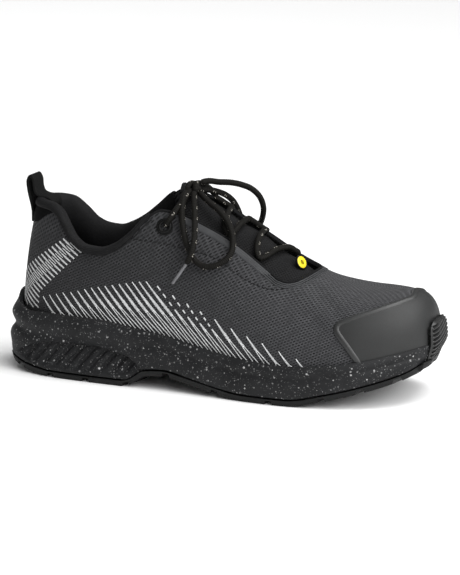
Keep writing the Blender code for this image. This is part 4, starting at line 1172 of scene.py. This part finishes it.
def makeMidsole():
    start, end = [sAtX(midsole[key]) * outlineLength for key in ("fineStart", "fineEnd")]
    fine = np.arange(start, end, midsole["fineStep"])
    back = np.linspace(0, fine[0], 12)[:-1]
    front = np.linspace(fine[-1], outlineLength, int((outlineLength - fine[-1]) / midsole["step"]))[1:]
    outer = np.concatenate([back, fine, front]) / outlineLength
    inner = np.linspace(0, 1, int(outlineLength / midsole["step"]))
    stations = np.concatenate([inner[::-1], outer[1:]])
    sides = np.concatenate([np.full(len(inner), medial), np.full(len(outer) - 1, lateral)])
    shares = np.linspace(0, 1, midsole["rows"] + 1)
    keys = np.array([0, 0.04, 0.07, 0.3, 0.52, 0.66, 0.83, 1.0])
    lifts, heights, insets, toeInsets = [smoothCurve(keys, wallSteps[:, k]) for k in range(4)]

    def place(i, k):
        s, side, share = stations[i], sides[i], shares[k]
        x, y = planPoint(tAt(s), side, insets(share), insets(share), toeInsets(share))
        low = treadZ(x) + midsole["foot"] + 0.25 * lifts(share)
        arc = s * outlineLength
        tab = np.exp(-(arc / midsole["tabWidth"]) ** 4)
        top = rimZ(x) + midsole["tabHeight"] * tab * smoothStep(0.6, 1, share)
        z = low + (top - low) * heights(share)
        back = smoothStep(34, 4, arc)
        wave = sum(bulge * np.exp(-((z - high) / width) ** 2) for bulge, high, width in heelWaves)
        wave = back * (wave - midsole["tabLean"] * smoothStep(37, 47, z))
        flat = np.stack([x, y], -1) + outlineNormal(s, side) * (wave - recessAt(x, z))[:, None]
        return tucked(np.column_stack([flat, z])), np.stack([arc * side, z], -1)

    obj = drapedGrid("midsoleFoam", len(stations) - 1, midsole["rows"], place)
    edit(obj, mergeClose(0.02))
    turnSide(obj)
    thicken(obj, midsole["wall"])
    return finishPiece(obj, foamGrey, ["midsole"], 50)


piece = makeMidsole()
print("midsole carved,", len(piece.data.polygons), "faces")


# Outsole: the frame's lugged plate, pressed to its visible edge and eased, and the ribbed wrap over the toe
outsole = {"easing": 0.35, "cutHeight": 32.2, "lugDepth": 2.0, "edgeHeight": 3.9, "lipHeight": 7.8}
wrap = {
    "start": 0.955, "columns": 120, "rows": 90, "low": 25.5, "top": 53.5, "rise": 2.6, "lean": 1.7,
    "ribPitch": 2.7, "ribRise": 2.0, "slant": 0.13, "tipSlant": 0.34, "tipReach": 7.0,
    "corner": 9.0, "thickness": 2.4,
}


def makeOutsole():
    obj = bpy.data.objects.new("outsolePlate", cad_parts["outsole"].data.copy())
    bpy.context.scene.collection.objects.link(obj)
    cut = tuple(toWorld((0, 0, outsole["cutHeight"])))
    edit(
        obj, mergeClose(0.005),
        lambda: bpy.ops.mesh.bisect(plane_co=cut, plane_no=(0, 0, 1), use_fill=True, clear_outer=True),
    )
    points = readPoints(obj)
    tread = treadZ(points[:, 0])
    height = points[:, 2] - tread
    squeeze = (outsole["edgeHeight"] - outsole["lugDepth"]) / (outsole["lipHeight"] - outsole["lugDepth"])
    pressed = outsole["lugDepth"] + (height - outsole["lugDepth"]) * squeeze
    points[:, 2] = np.where(height > outsole["lugDepth"], tread + pressed, points[:, 2])
    writePoints(obj, tucked(points))
    edit(obj, lambda: bpy.ops.mesh.dissolve_limited(angle_limit=math.radians(3)), faceOut)
    applyModifier(obj, "BEVEL", width=outsole["easing"] * mm, segments=2, limit_method="ANGLE",
                  angle_limit=math.radians(35), use_clamp_overlap=True)
    return finishPiece(obj, rubberBlack, ["outsole"], 35)


def makeWrap():  # rubber wrap whose slanted ribs run round the toe
    half = wrap["columns"] // 2
    onward, returning = np.linspace(wrap["start"], 1, half + 1), np.linspace(1, wrap["start"], half + 1)
    stations = np.concatenate([onward, returning[1:]])
    sides = np.concatenate([np.full(half + 1, lateral), np.full(half, medial)])
    arc = (1 - stations) * outlineLength * sides
    reach = np.abs(arc).max()

    def place(i, k):
        s, side = stations[i], sides[i]
        share = k / wrap["rows"]
        fromEnd = reach - np.abs(arc[i])
        cornered = wrap["corner"] - np.sqrt(np.maximum(
            0, wrap["corner"] ** 2 - np.clip(wrap["corner"] - fromEnd, 0, None) ** 2))
        z = wrap["low"] + (wrap["top"] - cornered - wrap["low"]) * share
        x, y = planPoint(tAt(s), side, 0, 0, 0)
        outward = outlineNormal(s, side)
        outward[s > 0.9985] = (1, 0)
        tip = np.clip(arc[i], -wrap["tipReach"], wrap["tipReach"])  # steeper round the tip
        wave = (z - wrap["slant"] * (arc[i] - tip) - wrap["tipSlant"] * tip) / wrap["ribPitch"]
        ridge = np.clip(1.6 * np.cos(2 * halfTurn * wave), -1, 1) * 0.5 + 0.5
        border = smoothStep(0, 2.0, fromEnd) * smoothStep(1, 0.93, share)
        face = smoothStep(0.8, 2.2, fromEnd) * smoothStep(1, 0.9, share) * smoothStep(0, 0.05, share)
        rise = wrap["rise"] * (0.35 + 0.65 * border) - wrap["lean"] * np.clip((z - 36) / 17, 0, 2) ** 2
        rise = rise - wrap["ribRise"] * (1 - ridge) * face
        flat = np.stack([x, y], -1) + outward * rise[:, None]
        return tucked(np.column_stack([flat, z])), np.stack([arc[i], z], -1)

    obj = drapedGrid("toeWrap", wrap["columns"], wrap["rows"], place)
    turnTo(obj, np.array([1.0, 0, 0]))
    thicken(obj, wrap["thickness"])
    return finishPiece(obj, rubberSatinPaintedLight, (), 30)


plate = makeOutsole()
piece = makeWrap()
print("outsole eased,", len(plate.data.polygons), "faces, wrap", len(piece.data.polygons))


# Lines along the top edge of the upper, from the heel forward to the front of the throat
edgeTable = {}
for side in (lateral, medial):
    frontS = frontRibs(40)
    edgeS = np.concatenate([np.linspace(0, frontS[0], 500)[:-1], frontS])
    edgeA = edgeAngle(edgeS, side)
    edgeTable[side] = (edgeS, edgeA, skin(edgeS, side, edgeA))


def edgeRun(limit, front=False):  # the edge behind a limit x or in front of it, with the cloth on its left
    parts = []
    for side in (lateral, medial):
        s, angle, points = edgeTable[side]
        kept = points[:, 0] >= limit if front else points[:, 0] <= limit
        parts.append((s[kept], angle[kept], np.full(kept.sum(), side), points[kept]))
    if front:
        return [np.concatenate([inner, outer[::-1][1:]]) for outer, inner in zip(*parts)]
    return [np.concatenate([outer[::-1], inner[1:]]) for outer, inner in zip(*parts)]


def alongEdge(run, step):  # even spacing of a run by its length
    s, angle, sides, points = run
    lengths = lengthsAlong(points)
    at = np.linspace(0, lengths[-1], int(lengths[-1] / step) + 1)
    signed = np.interp(at, lengths, s * sides)
    sides = np.where(signed < 0, lateral, medial)
    return np.abs(signed), sides, np.interp(at, lengths, angle), readLine(at, lengths, points)


# Collar: padded lining rolled over the edge, and its sewn rim
collar = {"limit": 108.0, "step": 1.6}
collarRows = np.array([  # down from the edge, out from the last
    (2.7, 0.15), (2.5, 0.7), (1.7, 0.95), (0.5, 0.9), (-0.7, 0.3), (-1.5, -1.1), (-1.7, -2.8), (-1.2, -4.5),
    (0.3, -6.0), (2.6, -7.1), (6.0, -8.0), (10.0, -8.3), (14.0, -8.0), (18.0, -7.2), (22.0, -6.0),
    (26.0, -4.6), (31.0, -3.2), (37.0, -2.6),
])


def makeCollar():
    s, sides, angle, line = alongEdge(edgeRun(collar["limit"]), collar["step"])
    up = readChart(upwards, s, sides, angle)
    x = line[:, 0]
    full = smoothStep(collar["limit"] + 4, 84, x)

    def place(i, k):
        down, out = collarRows[k, 0], collarRows[k, 1]
        deep = np.clip(down, 0, None) * (0.35 + 0.65 * full[i]) + np.clip(down, None, 0)
        flat = np.where(out < -2.2, -2.2 + (out + 2.2) * full[i], out)
        puff = 0.25 * np.sin(lengths[i] / 9.0) * smoothStep(4, 14, down) * full[i]
        a = angleAtUp(s[i], sides[i], up[i] - deep)
        points = offsetSkin(s[i], sides[i], a, flat + puff)
        return points, np.stack([lengths[i], girth[k]], -1)

    lengths = lengthsAlong(line)
    girth = lengthsAlong(collarRows)
    obj = drapedGrid("collarLining", len(s) - 1, len(collarRows) - 1, place)
    edit(obj, mergeClose(0.01))
    applyModifier(obj, "SUBSURF", levels=1, render_levels=1)
    turnSide(obj)
    thicken(obj, 0.9)
    finishPiece(obj, liningSoft, (), 60)
    return obj


piece = makeCollar()
print("collar padded,", len(piece.data.polygons), "faces")


def roundProfile(width, height, foot=0.4, sides=8):
    turn = np.linspace(0, halfTurn, sides + 1)
    arch = [(-np.cos(a) * width / 2, np.sin(a) * height) for a in turn]
    return [(-width / 2, -foot), *arch, (width / 2, -foot)]


# Facing: smooth strip beside the throat, and three sewn ribs round its front
facing = {"start": 128.0, "end": 192.0, "near": 0.6, "far": 5.4, "lift": 0.45, "step": 1.0, "ribStart": 150.0}


def clothward(line, s, sides, angle):
    normal = skinNormal(s, sides, np.minimum(angle, rightAngle - 0.02))
    across = unit(np.cross(normal, unit(np.gradient(line, axis=0))))
    inside = skin(s, sides, np.maximum(angle - 0.15, 0)) - line
    return across * np.sign((across * inside).sum(-1))[:, None]


def edgeTrim(name, run, down, lift, profile, material, step=0.9):
    s, sides, angle, line = alongEdge(run, step)
    points, normals = snap(line + clothward(line, s, sides, angle) * down, lift)
    return finishPiece(sweep(name, points, evened(normals, 3), profile), material, (), 50)


def makeFacing(side, name):
    s, angle, points = edgeTable[side]
    kept = (points[:, 0] >= facing["start"]) & (points[:, 0] <= facing["end"])
    run = (s[kept], angle[kept], np.full(kept.sum(), side), points[kept])
    s, sides, angle, line = alongEdge(run, facing["step"])
    away = clothward(line, s, sides, angle)
    rows = 6
    lengths = lengthsAlong(line)

    def place(i, k):
        taper = np.sqrt(np.clip(np.minimum(lengths[i], lengths[-1] - lengths[i]) / 6.0, 0.02, 1))
        down = facing["near"] + (facing["far"] - facing["near"]) * k / rows * taper
        places, _ = snap(line[i] + away[i] * down[:, None], facing["lift"] * (1 - 0.6 * (k == rows)))
        return places, np.stack([lengths[i], down], -1)

    obj = drapedGrid(name, len(line) - 1, rows, place)
    turnSide(obj)
    thicken(obj, 0.7)
    return finishPiece(obj, filmGrey, (), 50)


makeFacing(lateral, "facingOuter")
makeFacing(medial, "facingInner")
collarEdge = edgeRun(collar["limit"])
edgeTrim("collarPiping", collarEdge, 3.1, 0.0, roundProfile(0.9, 0.4), threadDark)
edgeTrim("throatEdge", edgeRun(104.0, True), 0.2, -0.4, roundProfile(1.8, 1.2, 1.4), bindingBlack)
for n, down in enumerate((1.8, 3.1, 4.4)):
    edgeTrim("throatRib%d" % (n + 1), edgeRun(facing["ribStart"] + 14 * n, True), down, 0.0,
             roundProfile(1.1, 0.55), filmGrey)
print("throat trimmed")


# Heel patch: smooth microfibre under the pull loop
patchFoot = smoothCurve([0, 23.2, 33.6, 41, 44.8, 60], [96.5, 99.9, 106.3, 109.0, 112.0, 125.0])


def makePatch():
    s = np.concatenate([np.linspace(0, 0.2, 61)[:0:-1], np.linspace(0, 0.2, 61)])
    sides = np.concatenate([np.full(60, lateral), np.full(61, medial)])
    top = edgeAngle(s, sides)
    foot = top.copy()
    for _ in range(3):
        foot = angleAtHeight(s, sides, patchFoot(skin(s, sides, foot)[:, 0]))
    kept = np.nonzero(foot < top - 0.01)[0]
    s, sides, top, foot = s[kept], sides[kept], top[kept], foot[kept]
    rows = 14

    def place(i, k):
        angle = foot[i] + (top[i] - foot[i]) * k / rows
        rounded = np.minimum(1, np.minimum(k, 3) / 2.0)
        points = offsetSkin(s[i], sides[i], angle, 0.25 + 0.45 * rounded)
        return points, surfaceChart(s[i], sides[i], angle)

    obj = drapedGrid("heelPatch", len(s) - 1, rows, place)
    edit(obj, mergeClose(0.01))
    turnSide(obj)
    thicken(obj, 0.8)
    return finishPiece(obj, microBlack, (), 50)


makePatch()


# Toe cap: satin panel with a raised rounded border
cap = {"lift": 0.9, "columns": 70, "rows": 34, "borderWidth": 4.4, "borderHeight": 1.5, "topX": 281.5}
capEdgeRows = np.array([
    (259.5, 24.5), (257.6, 29.5), (254.6, 34.2), (249.5, 40.9), (244.6, 46.2), (242.2, 49.2), (241.8, 51.6),
    (244.5, 54.0), (252, 57.0), (260.9, 60.1), (271, 63.5), (280.3, 66.6),
])


def capEdge():  # the border's line over both sides, in ribs and angles
    s, angle = chartLine(capEdgeRows[:, 0], capEdgeRows[:, 1], lateral)
    topAngle = bisect(lambda a: skin(1.0, lateral, a)[..., 0] <= cap["topX"], 0, rightAngle, ())
    more = np.linspace(0, 1, 30)[1:]
    s = np.concatenate([s, s[-1] + (1 - s[-1]) * more])
    angle = np.concatenate([angle, angle[-1] + (topAngle - angle[-1]) * smoothStep(0, 1, more)])
    return s, angle


def makeCap():
    edgeS, edgeA = capEdge()
    both = np.concatenate([edgeS, edgeS[::-1][1:]])
    bothA = np.concatenate([edgeA, edgeA[::-1][1:]])
    bothSide = np.concatenate([np.full(len(edgeS), lateral), np.full(len(edgeS) - 1, medial)])
    rim = skin(both, bothSide, bothA)
    normals = evened(skinNormal(both, bothSide, bothA), 4)
    for _ in range(4):
        rim[1:-1] = (rim[:-2] + 2 * rim[1:-1] + rim[2:]) / 4
    lengths = lengthsAlong(rim)
    at = np.linspace(0, lengths[-1], int(lengths[-1] / 0.9))
    line, out = readLine(at, lengths, rim), unit(readLine(at, lengths, normals))
    border = sweep("toeCapBorder", line, out, roundProfile(cap["borderWidth"], cap["borderHeight"], 0.3, 12))
    finishPiece(border, capBorderPaintedHighlight, (), 60)

    rearS = edgeS.min()
    turnAt = int(np.argmin(edgeS))
    lowS, lowA = edgeS[:turnAt + 1][::-1], edgeA[:turnAt + 1][::-1]
    highS, highA = edgeS[turnAt:], edgeA[turnAt:]
    count = cap["columns"]
    stations = rearS + (1 - rearS) * np.linspace(0, 1, count + 1) ** 1.2

    def place(i, k):
        side = np.where(i < count, lateral, medial)
        s = stations[np.where(i < count, i, 2 * count - i)]
        low = np.where(s <= lowS[-1], np.interp(s, lowS, lowA), 0.0)
        high = np.interp(s, highS, highA)
        angle = low + (high - low) * k / cap["rows"]
        points = offsetSkin(s, side, angle, cap["lift"])
        return points, surfaceChart(s, side, angle)

    obj = drapedGrid("toeCap", 2 * count, cap["rows"], place)
    edit(obj, mergeClose(0.02))
    turnSide(obj)
    thicken(obj, 0.8)
    return finishPiece(obj, capPlastic, ["toe_cap"], 60)


piece = makeCap()
print("toe cap laid,", len(piece.data.polygons), "faces")


# Tongue: padded, under the throat, with a bound top edge
tongue = {
    "front": 220.0, "top": 129.0, "depth": 4.6, "columns": 90, "rows": 22, "tuck": 10.0, "thickness": 4.2,
    "corner": 20.0,
}


def makeTongue():
    s = sAtUpperX(np.linspace(tongue["front"], tongue["top"], tongue["columns"] + 1))
    low = {side: np.minimum(edgeAngle(s, side), math.radians(64)) - math.radians(tongue["tuck"])
           for side in (lateral, medial)}
    half = tongue["rows"]
    distance = np.linspace(0, tongue["front"] - tongue["top"], tongue["columns"] + 1)

    def place(i, k):
        side = np.where(k < half, lateral, medial)
        share = np.abs(k - half) / half
        edge = np.where(side < 0, low[lateral][i], low[medial][i])
        fromTop = distance[-1] - distance[i]
        corner = np.sqrt(np.clip(1 - np.clip(1 - fromTop / tongue["corner"], 0, 1) ** 2.5, 0.12, 1))
        angle = rightAngle + (edge - rightAngle) * share * corner
        band = 1.6 * smoothStep(26, 6, fromTop) * smoothStep(-0.5, 1.5, fromTop)
        quilt = 0.5 * np.cos(2 * halfTurn * fromTop / 24.0)
        quilt = quilt * smoothStep(1, 0.4, share) * smoothStep(9, 20, fromTop)
        puff = 0.8 * (1 - share**2)
        points = offsetSkin(s[i], side, angle, -tongue["depth"] + band + quilt + puff - 0.6)
        return points, np.stack([distance[i], surfaceChart(s[i], side, angle)[:, 1] * side], -1)

    obj = drapedGrid("tonguePad", tongue["columns"], 2 * half, place)
    edit(obj, mergeClose(0.005))
    turnTo(obj, np.array([0, 0, 1.0]))
    thicken(obj, tongue["thickness"])
    finishPiece(obj, knitBlack, ["tongue"], 50)
    return obj


piece = makeTongue()
print("tongue padded,", len(piece.data.polygons), "faces")


# Insole: cupped foot bed
def makeInsole():
    s = np.linspace(0.004, 0.996, 120)
    rows = 20

    def place(i, k):
        share = 2 * k / rows - 1
        side = np.where(share < 0, lateral, medial)
        x, y = upperPlan(s[i], side, 3.0)
        centre = planCentre(x)
        cup = 2.5 * np.abs(share) ** 4 * smoothStep(0.5, 0.1, s[i])
        z = floorZ(x) + last["seatGap"] + 4.0 + cup
        points = np.column_stack([x, centre + (y - centre) * np.abs(share), z])
        return points, points[:, :2]

    obj = drapedGrid("footBed", len(s) - 1, rows, place)
    edit(obj, mergeClose(0.01))
    turnTo(obj, np.array([0, 0, 1.0]))
    thicken(obj, 3.4)
    return finishPiece(obj, insoleFelt, ["insole"], 50)


makeInsole()


# Pull loop: folded webbing with a sewn foot
pull = {
    "width": 15.0, "thickness": 1.6, "wrapTop": 121.0, "wrapFoot": 101.0, "wrapBend": 0.045, "inner": 18.0,
}
pullRows = [  # x, z along the folded webbing, from its outer foot over the top
    (13.85, 98), (13.8, 108), (12.8, 118.5), (12.3, 125), (14.4, 128.5), (16.5, 125.4), (16.9, 121),
    (18.2, 116.9), (21.8, 115), (26.3, 114.4), (29.2, 112.8), (29.9, 109.6), (28.4, 105.8), (26.8, 102.5),
]


def wrapFoot(obj):  # the sewn foot follows the round of the heel
    points = readPoints(obj)
    low = smoothStep(pull["wrapTop"], pull["wrapFoot"], points[:, 2])
    low = low * smoothStep(pull["inner"] + 2, pull["inner"], points[:, 0])
    points[:, 0] += pull["wrapBend"] * points[:, 1] ** 2 * low
    writePoints(obj, points)


def makePull():
    route = smoothLine([(x, 0, z) for x, z in pullRows], 14)
    line = resample(route, 0.6)
    tangent = unit(np.gradient(line, axis=0))
    out = np.stack([-tangent[:, 2], np.zeros(len(line)), tangent[:, 0]], -1)
    half, t = pull["width"] / 2, pull["thickness"] / 2
    profile = [(-half, -t * 0.5), (-half, t * 0.5)]
    profile += [(-half + 0.6 + (2 * half - 1.2) * n / 12, t + 0.12 * np.cos(n * halfTurn)) for n in range(13)]
    profile += [(half, t * 0.5), (half, -t * 0.5)]
    profile += [(half - 0.6 - (2 * half - 1.2) * n / 12, -t - 0.12 * np.cos(n * halfTurn)) for n in range(13)]
    obj = sweep("pullLoop", line, out, profile)
    wrapFoot(obj)
    return finishPiece(obj, webBlack, ["pull_loop"], 45)


makePull()


# Eyelets: rolled rings
def spin(name, place, normal, profile, sides=40):  # a turned section of (radius, height) about a normal
    normal = unit(np.asarray(normal, float))
    first = unit(np.cross(normal, [0.2, 0.1, 0.97]))
    second = np.cross(normal, first)
    section = np.array(profile + [profile[0]], float)

    def lay(i, k):
        turn = 2 * halfTurn * i / sides
        ray = first * np.cos(turn)[:, None] + second * np.sin(turn)[:, None]
        points = np.asarray(place) + ray * section[k, :1] + normal * section[k, 1:2]
        return points, np.stack([turn, section[k, 0]], -1)

    obj = drapedGrid(name, sides, len(section) - 1, lay)
    edit(obj, mergeClose(0.002), faceOut)
    return obj


def ringProfile(inner, outer, height):
    mid, width = (inner + outer) / 2, (outer - inner) / 2
    turn = np.linspace(0, halfTurn, 11)
    arch = [(mid - np.cos(a) * width, np.sin(a) ** 0.8 * height) for a in turn]
    return arch + [(outer, -0.5), (inner, -0.5)]


eyelet = {"x": 121.5, "z": 105.0, "hole": 2.4, "ring": 4.7, "height": 1.25}
eyeletSpots = {}
eyeletRows = [(lateral, "eyeletOuter", "eyelet_lateral"), (medial, "eyeletInner", "eyelet_medial")]
for side, name, node in eyeletRows:
    eyeletS = sAtUpperX(eyelet["x"])
    where = [np.array([value]) for value in (eyeletS, side, angleAtHeight(eyeletS, side, eyelet["z"]))]
    spot, normal = offsetSkin(*where, [0.3])[0], skinNormal(*where)[0]
    eyeletSpots[side] = spot
    ring = spin(name, spot, normal, ringProfile(eyelet["hole"], eyelet["ring"], eyelet["height"]))
    washer = spin(name + "Washer", spot, normal, ringProfile(eyelet["ring"] - 0.3, eyelet["ring"] + 0.9, 0.4))
    finishPiece(join([ring, washer], name), eyeletBlack, [node], 50)


# Tag: plain yellow disc with a dark rim and a small sewn mark
tag = {"centre": (204.2, 0.2, 83.1), "normal": (0.86, -0.3, 0.42), "radius": 4.4, "thickness": 1.2}


def makeTag():
    r, t = tag["radius"], tag["thickness"]
    crown = [
        (0.001, t * 0.62), (r * 0.6, t * 0.6), (r * 0.86, t * 0.5), (r * 0.93, t * 0.3), (r * 0.93, -t / 2),
        (0.001, -t / 2),
    ]
    disc = spin("tagDisc", tag["centre"], tag["normal"], crown, 48)
    finishPiece(disc, tagYellow, ["tag"], 50)
    ring = spin("tagRim", tag["centre"], tag["normal"], ringProfile(r * 0.88, r * 1.12, t * 0.62), 48)
    finishPiece(ring, eyeletBlack, (), 50)
    normal = unit(np.array(tag["normal"]))
    first = unit(np.cross(normal, [0.0, 1.0, 0.2]))
    second = np.cross(normal, first)
    bars = []
    for shift in (-1.05, 1.05):
        base = np.array(tag["centre"]) + normal * (t * 0.6) + first * shift
        line = [base + second * u for u in np.linspace(-0.55, 0.55, 7)]
        bars.append(tube("bar", line, 0.36, 8))
    return finishPiece(join(bars, "tagStitches"), threadDark, (), 60)


makeTag()


# Lace in the throat, its rise to the knot, and the knot
laceRun = [  # x, share of the way from the ridge to the outer (negative) or the inner edge
    (197.2, 0.85), (195.2, 0.5), (191.8, 0.0), (188.3, -0.45), (185.0, -0.85), (182.0, -1.0), (179.2, -0.88),
    (177.6, -0.5), (177.3, 0.0), (177.4, 0.5), (176.3, 0.88), (173.5, 1.0), (170.6, 0.85), (168.6, 0.45),
    (167.0, 0.0), (165.4, -0.5), (163.4, -0.88), (160.6, -1.0), (157.8, -0.88), (156.4, -0.5), (156.1, 0.0),
    (156.2, 0.5), (155.1, 0.88), (152.3, 1.0), (149.5, 0.85), (147.6, 0.45), (146.0, 0.0),
]
laceLift, laceInset = -0.6, 3.0


def throatPoint(x, share):
    s = sAtUpperX(x)
    side = lateral if share < 0 else medial
    edge = edgeAngle(np.array([s]), np.array([side]))[0]
    crownY = skin(s, side, rightAngle)[1]
    reach = abs(skin(s, side, edge)[1] - crownY) - laceInset
    reach = reach * abs(share)
    angle = bisect(lambda a: np.abs(skin(s, side, a)[..., 1] - crownY) <= reach, 0, rightAngle, ())
    return offsetSkin(np.array([s]), np.array([side]), np.array([angle]), [laceLift])[0]


def makeCrossings():
    tubes = [laceTube("run", [throatPoint(x, share) for x, share in laceRun])]
    rises = {
        lateral: [(122, -24.8, 110), (125, -20, 116), (127, -14, 120), (128.5, -8, 125), (129.5, -4.5, 127)],
        medial: [(122, 33.0, 111), (124.5, 27.5, 118), (127, 19, 124), (128.5, 10, 127.5), (129.6, 2, 128)],
    }
    for side, route in rises.items():
        tubes.append(laceTube("top", [eyeletSpots[side], *[np.array(p) for p in route]]))
    return finishPiece(join(tubes, "laceCrossings"), laceBraid, ["lace_crossings"], 60)


def makeKnot():
    centre = np.array([130.0, -2.5, 127.4])
    turn = np.linspace(0, 2 * halfTurn, 25)
    wraps = []
    for tilt, radius, shift in ((0.35, 3.1, -1.5), (-0.25, 3.0, 1.6)):
        lean = shift + tilt * radius * np.cos(turn) * 1.4
        ring = np.stack([lean, radius * 1.1 * np.cos(turn), radius * np.sin(turn)], -1)
        wraps.append(laceTube("wrap", centre + ring))
    core = [centre + d for d in ([-4.5, -1.5, 0.5], [-1.5, 0.5, 1.2], [1.5, -0.5, -0.6], [4.5, 1.5, 0.2])]
    wraps.append(laceTube("core", core))
    return finishPiece(join(wraps, "laceKnot"), laceBraid, ["lace_knot"], 60)


makeCrossings()
makeKnot()
print("lace threaded")


# Stitches along the eyestay's seam
def stitchRow(points, normals, length=2.1, gap=1.1, radius=0.34):
    lengths = lengthsAlong(points)
    made = []
    at = 0.5
    while at + length < lengths[-1]:
        spots = np.linspace(at, at + length, 5)
        line, out = readLine(spots, lengths, points), readLine(spots, lengths, normals)
        bow = np.sin(np.linspace(0, halfTurn, 5))[:, None]
        made.append(tube("stitch", line + out * (0.32 * bow - 0.08), radius, 6))
        at += length + gap
    return made


def makeStitches():
    made = []
    for side in (lateral, medial):
        s, angle, _ = seamCharts[side]
        points = skin(s, np.full(s.shape, side), angle)
        placed, normals = snap(points, 0.05)
        made += stitchRow(placed, normals)
    return finishPiece(join(made, "seamStitches"), threadDark, (), 60)


piece = makeStitches()
print("stitched,", len(piece.data.polygons), "faces")
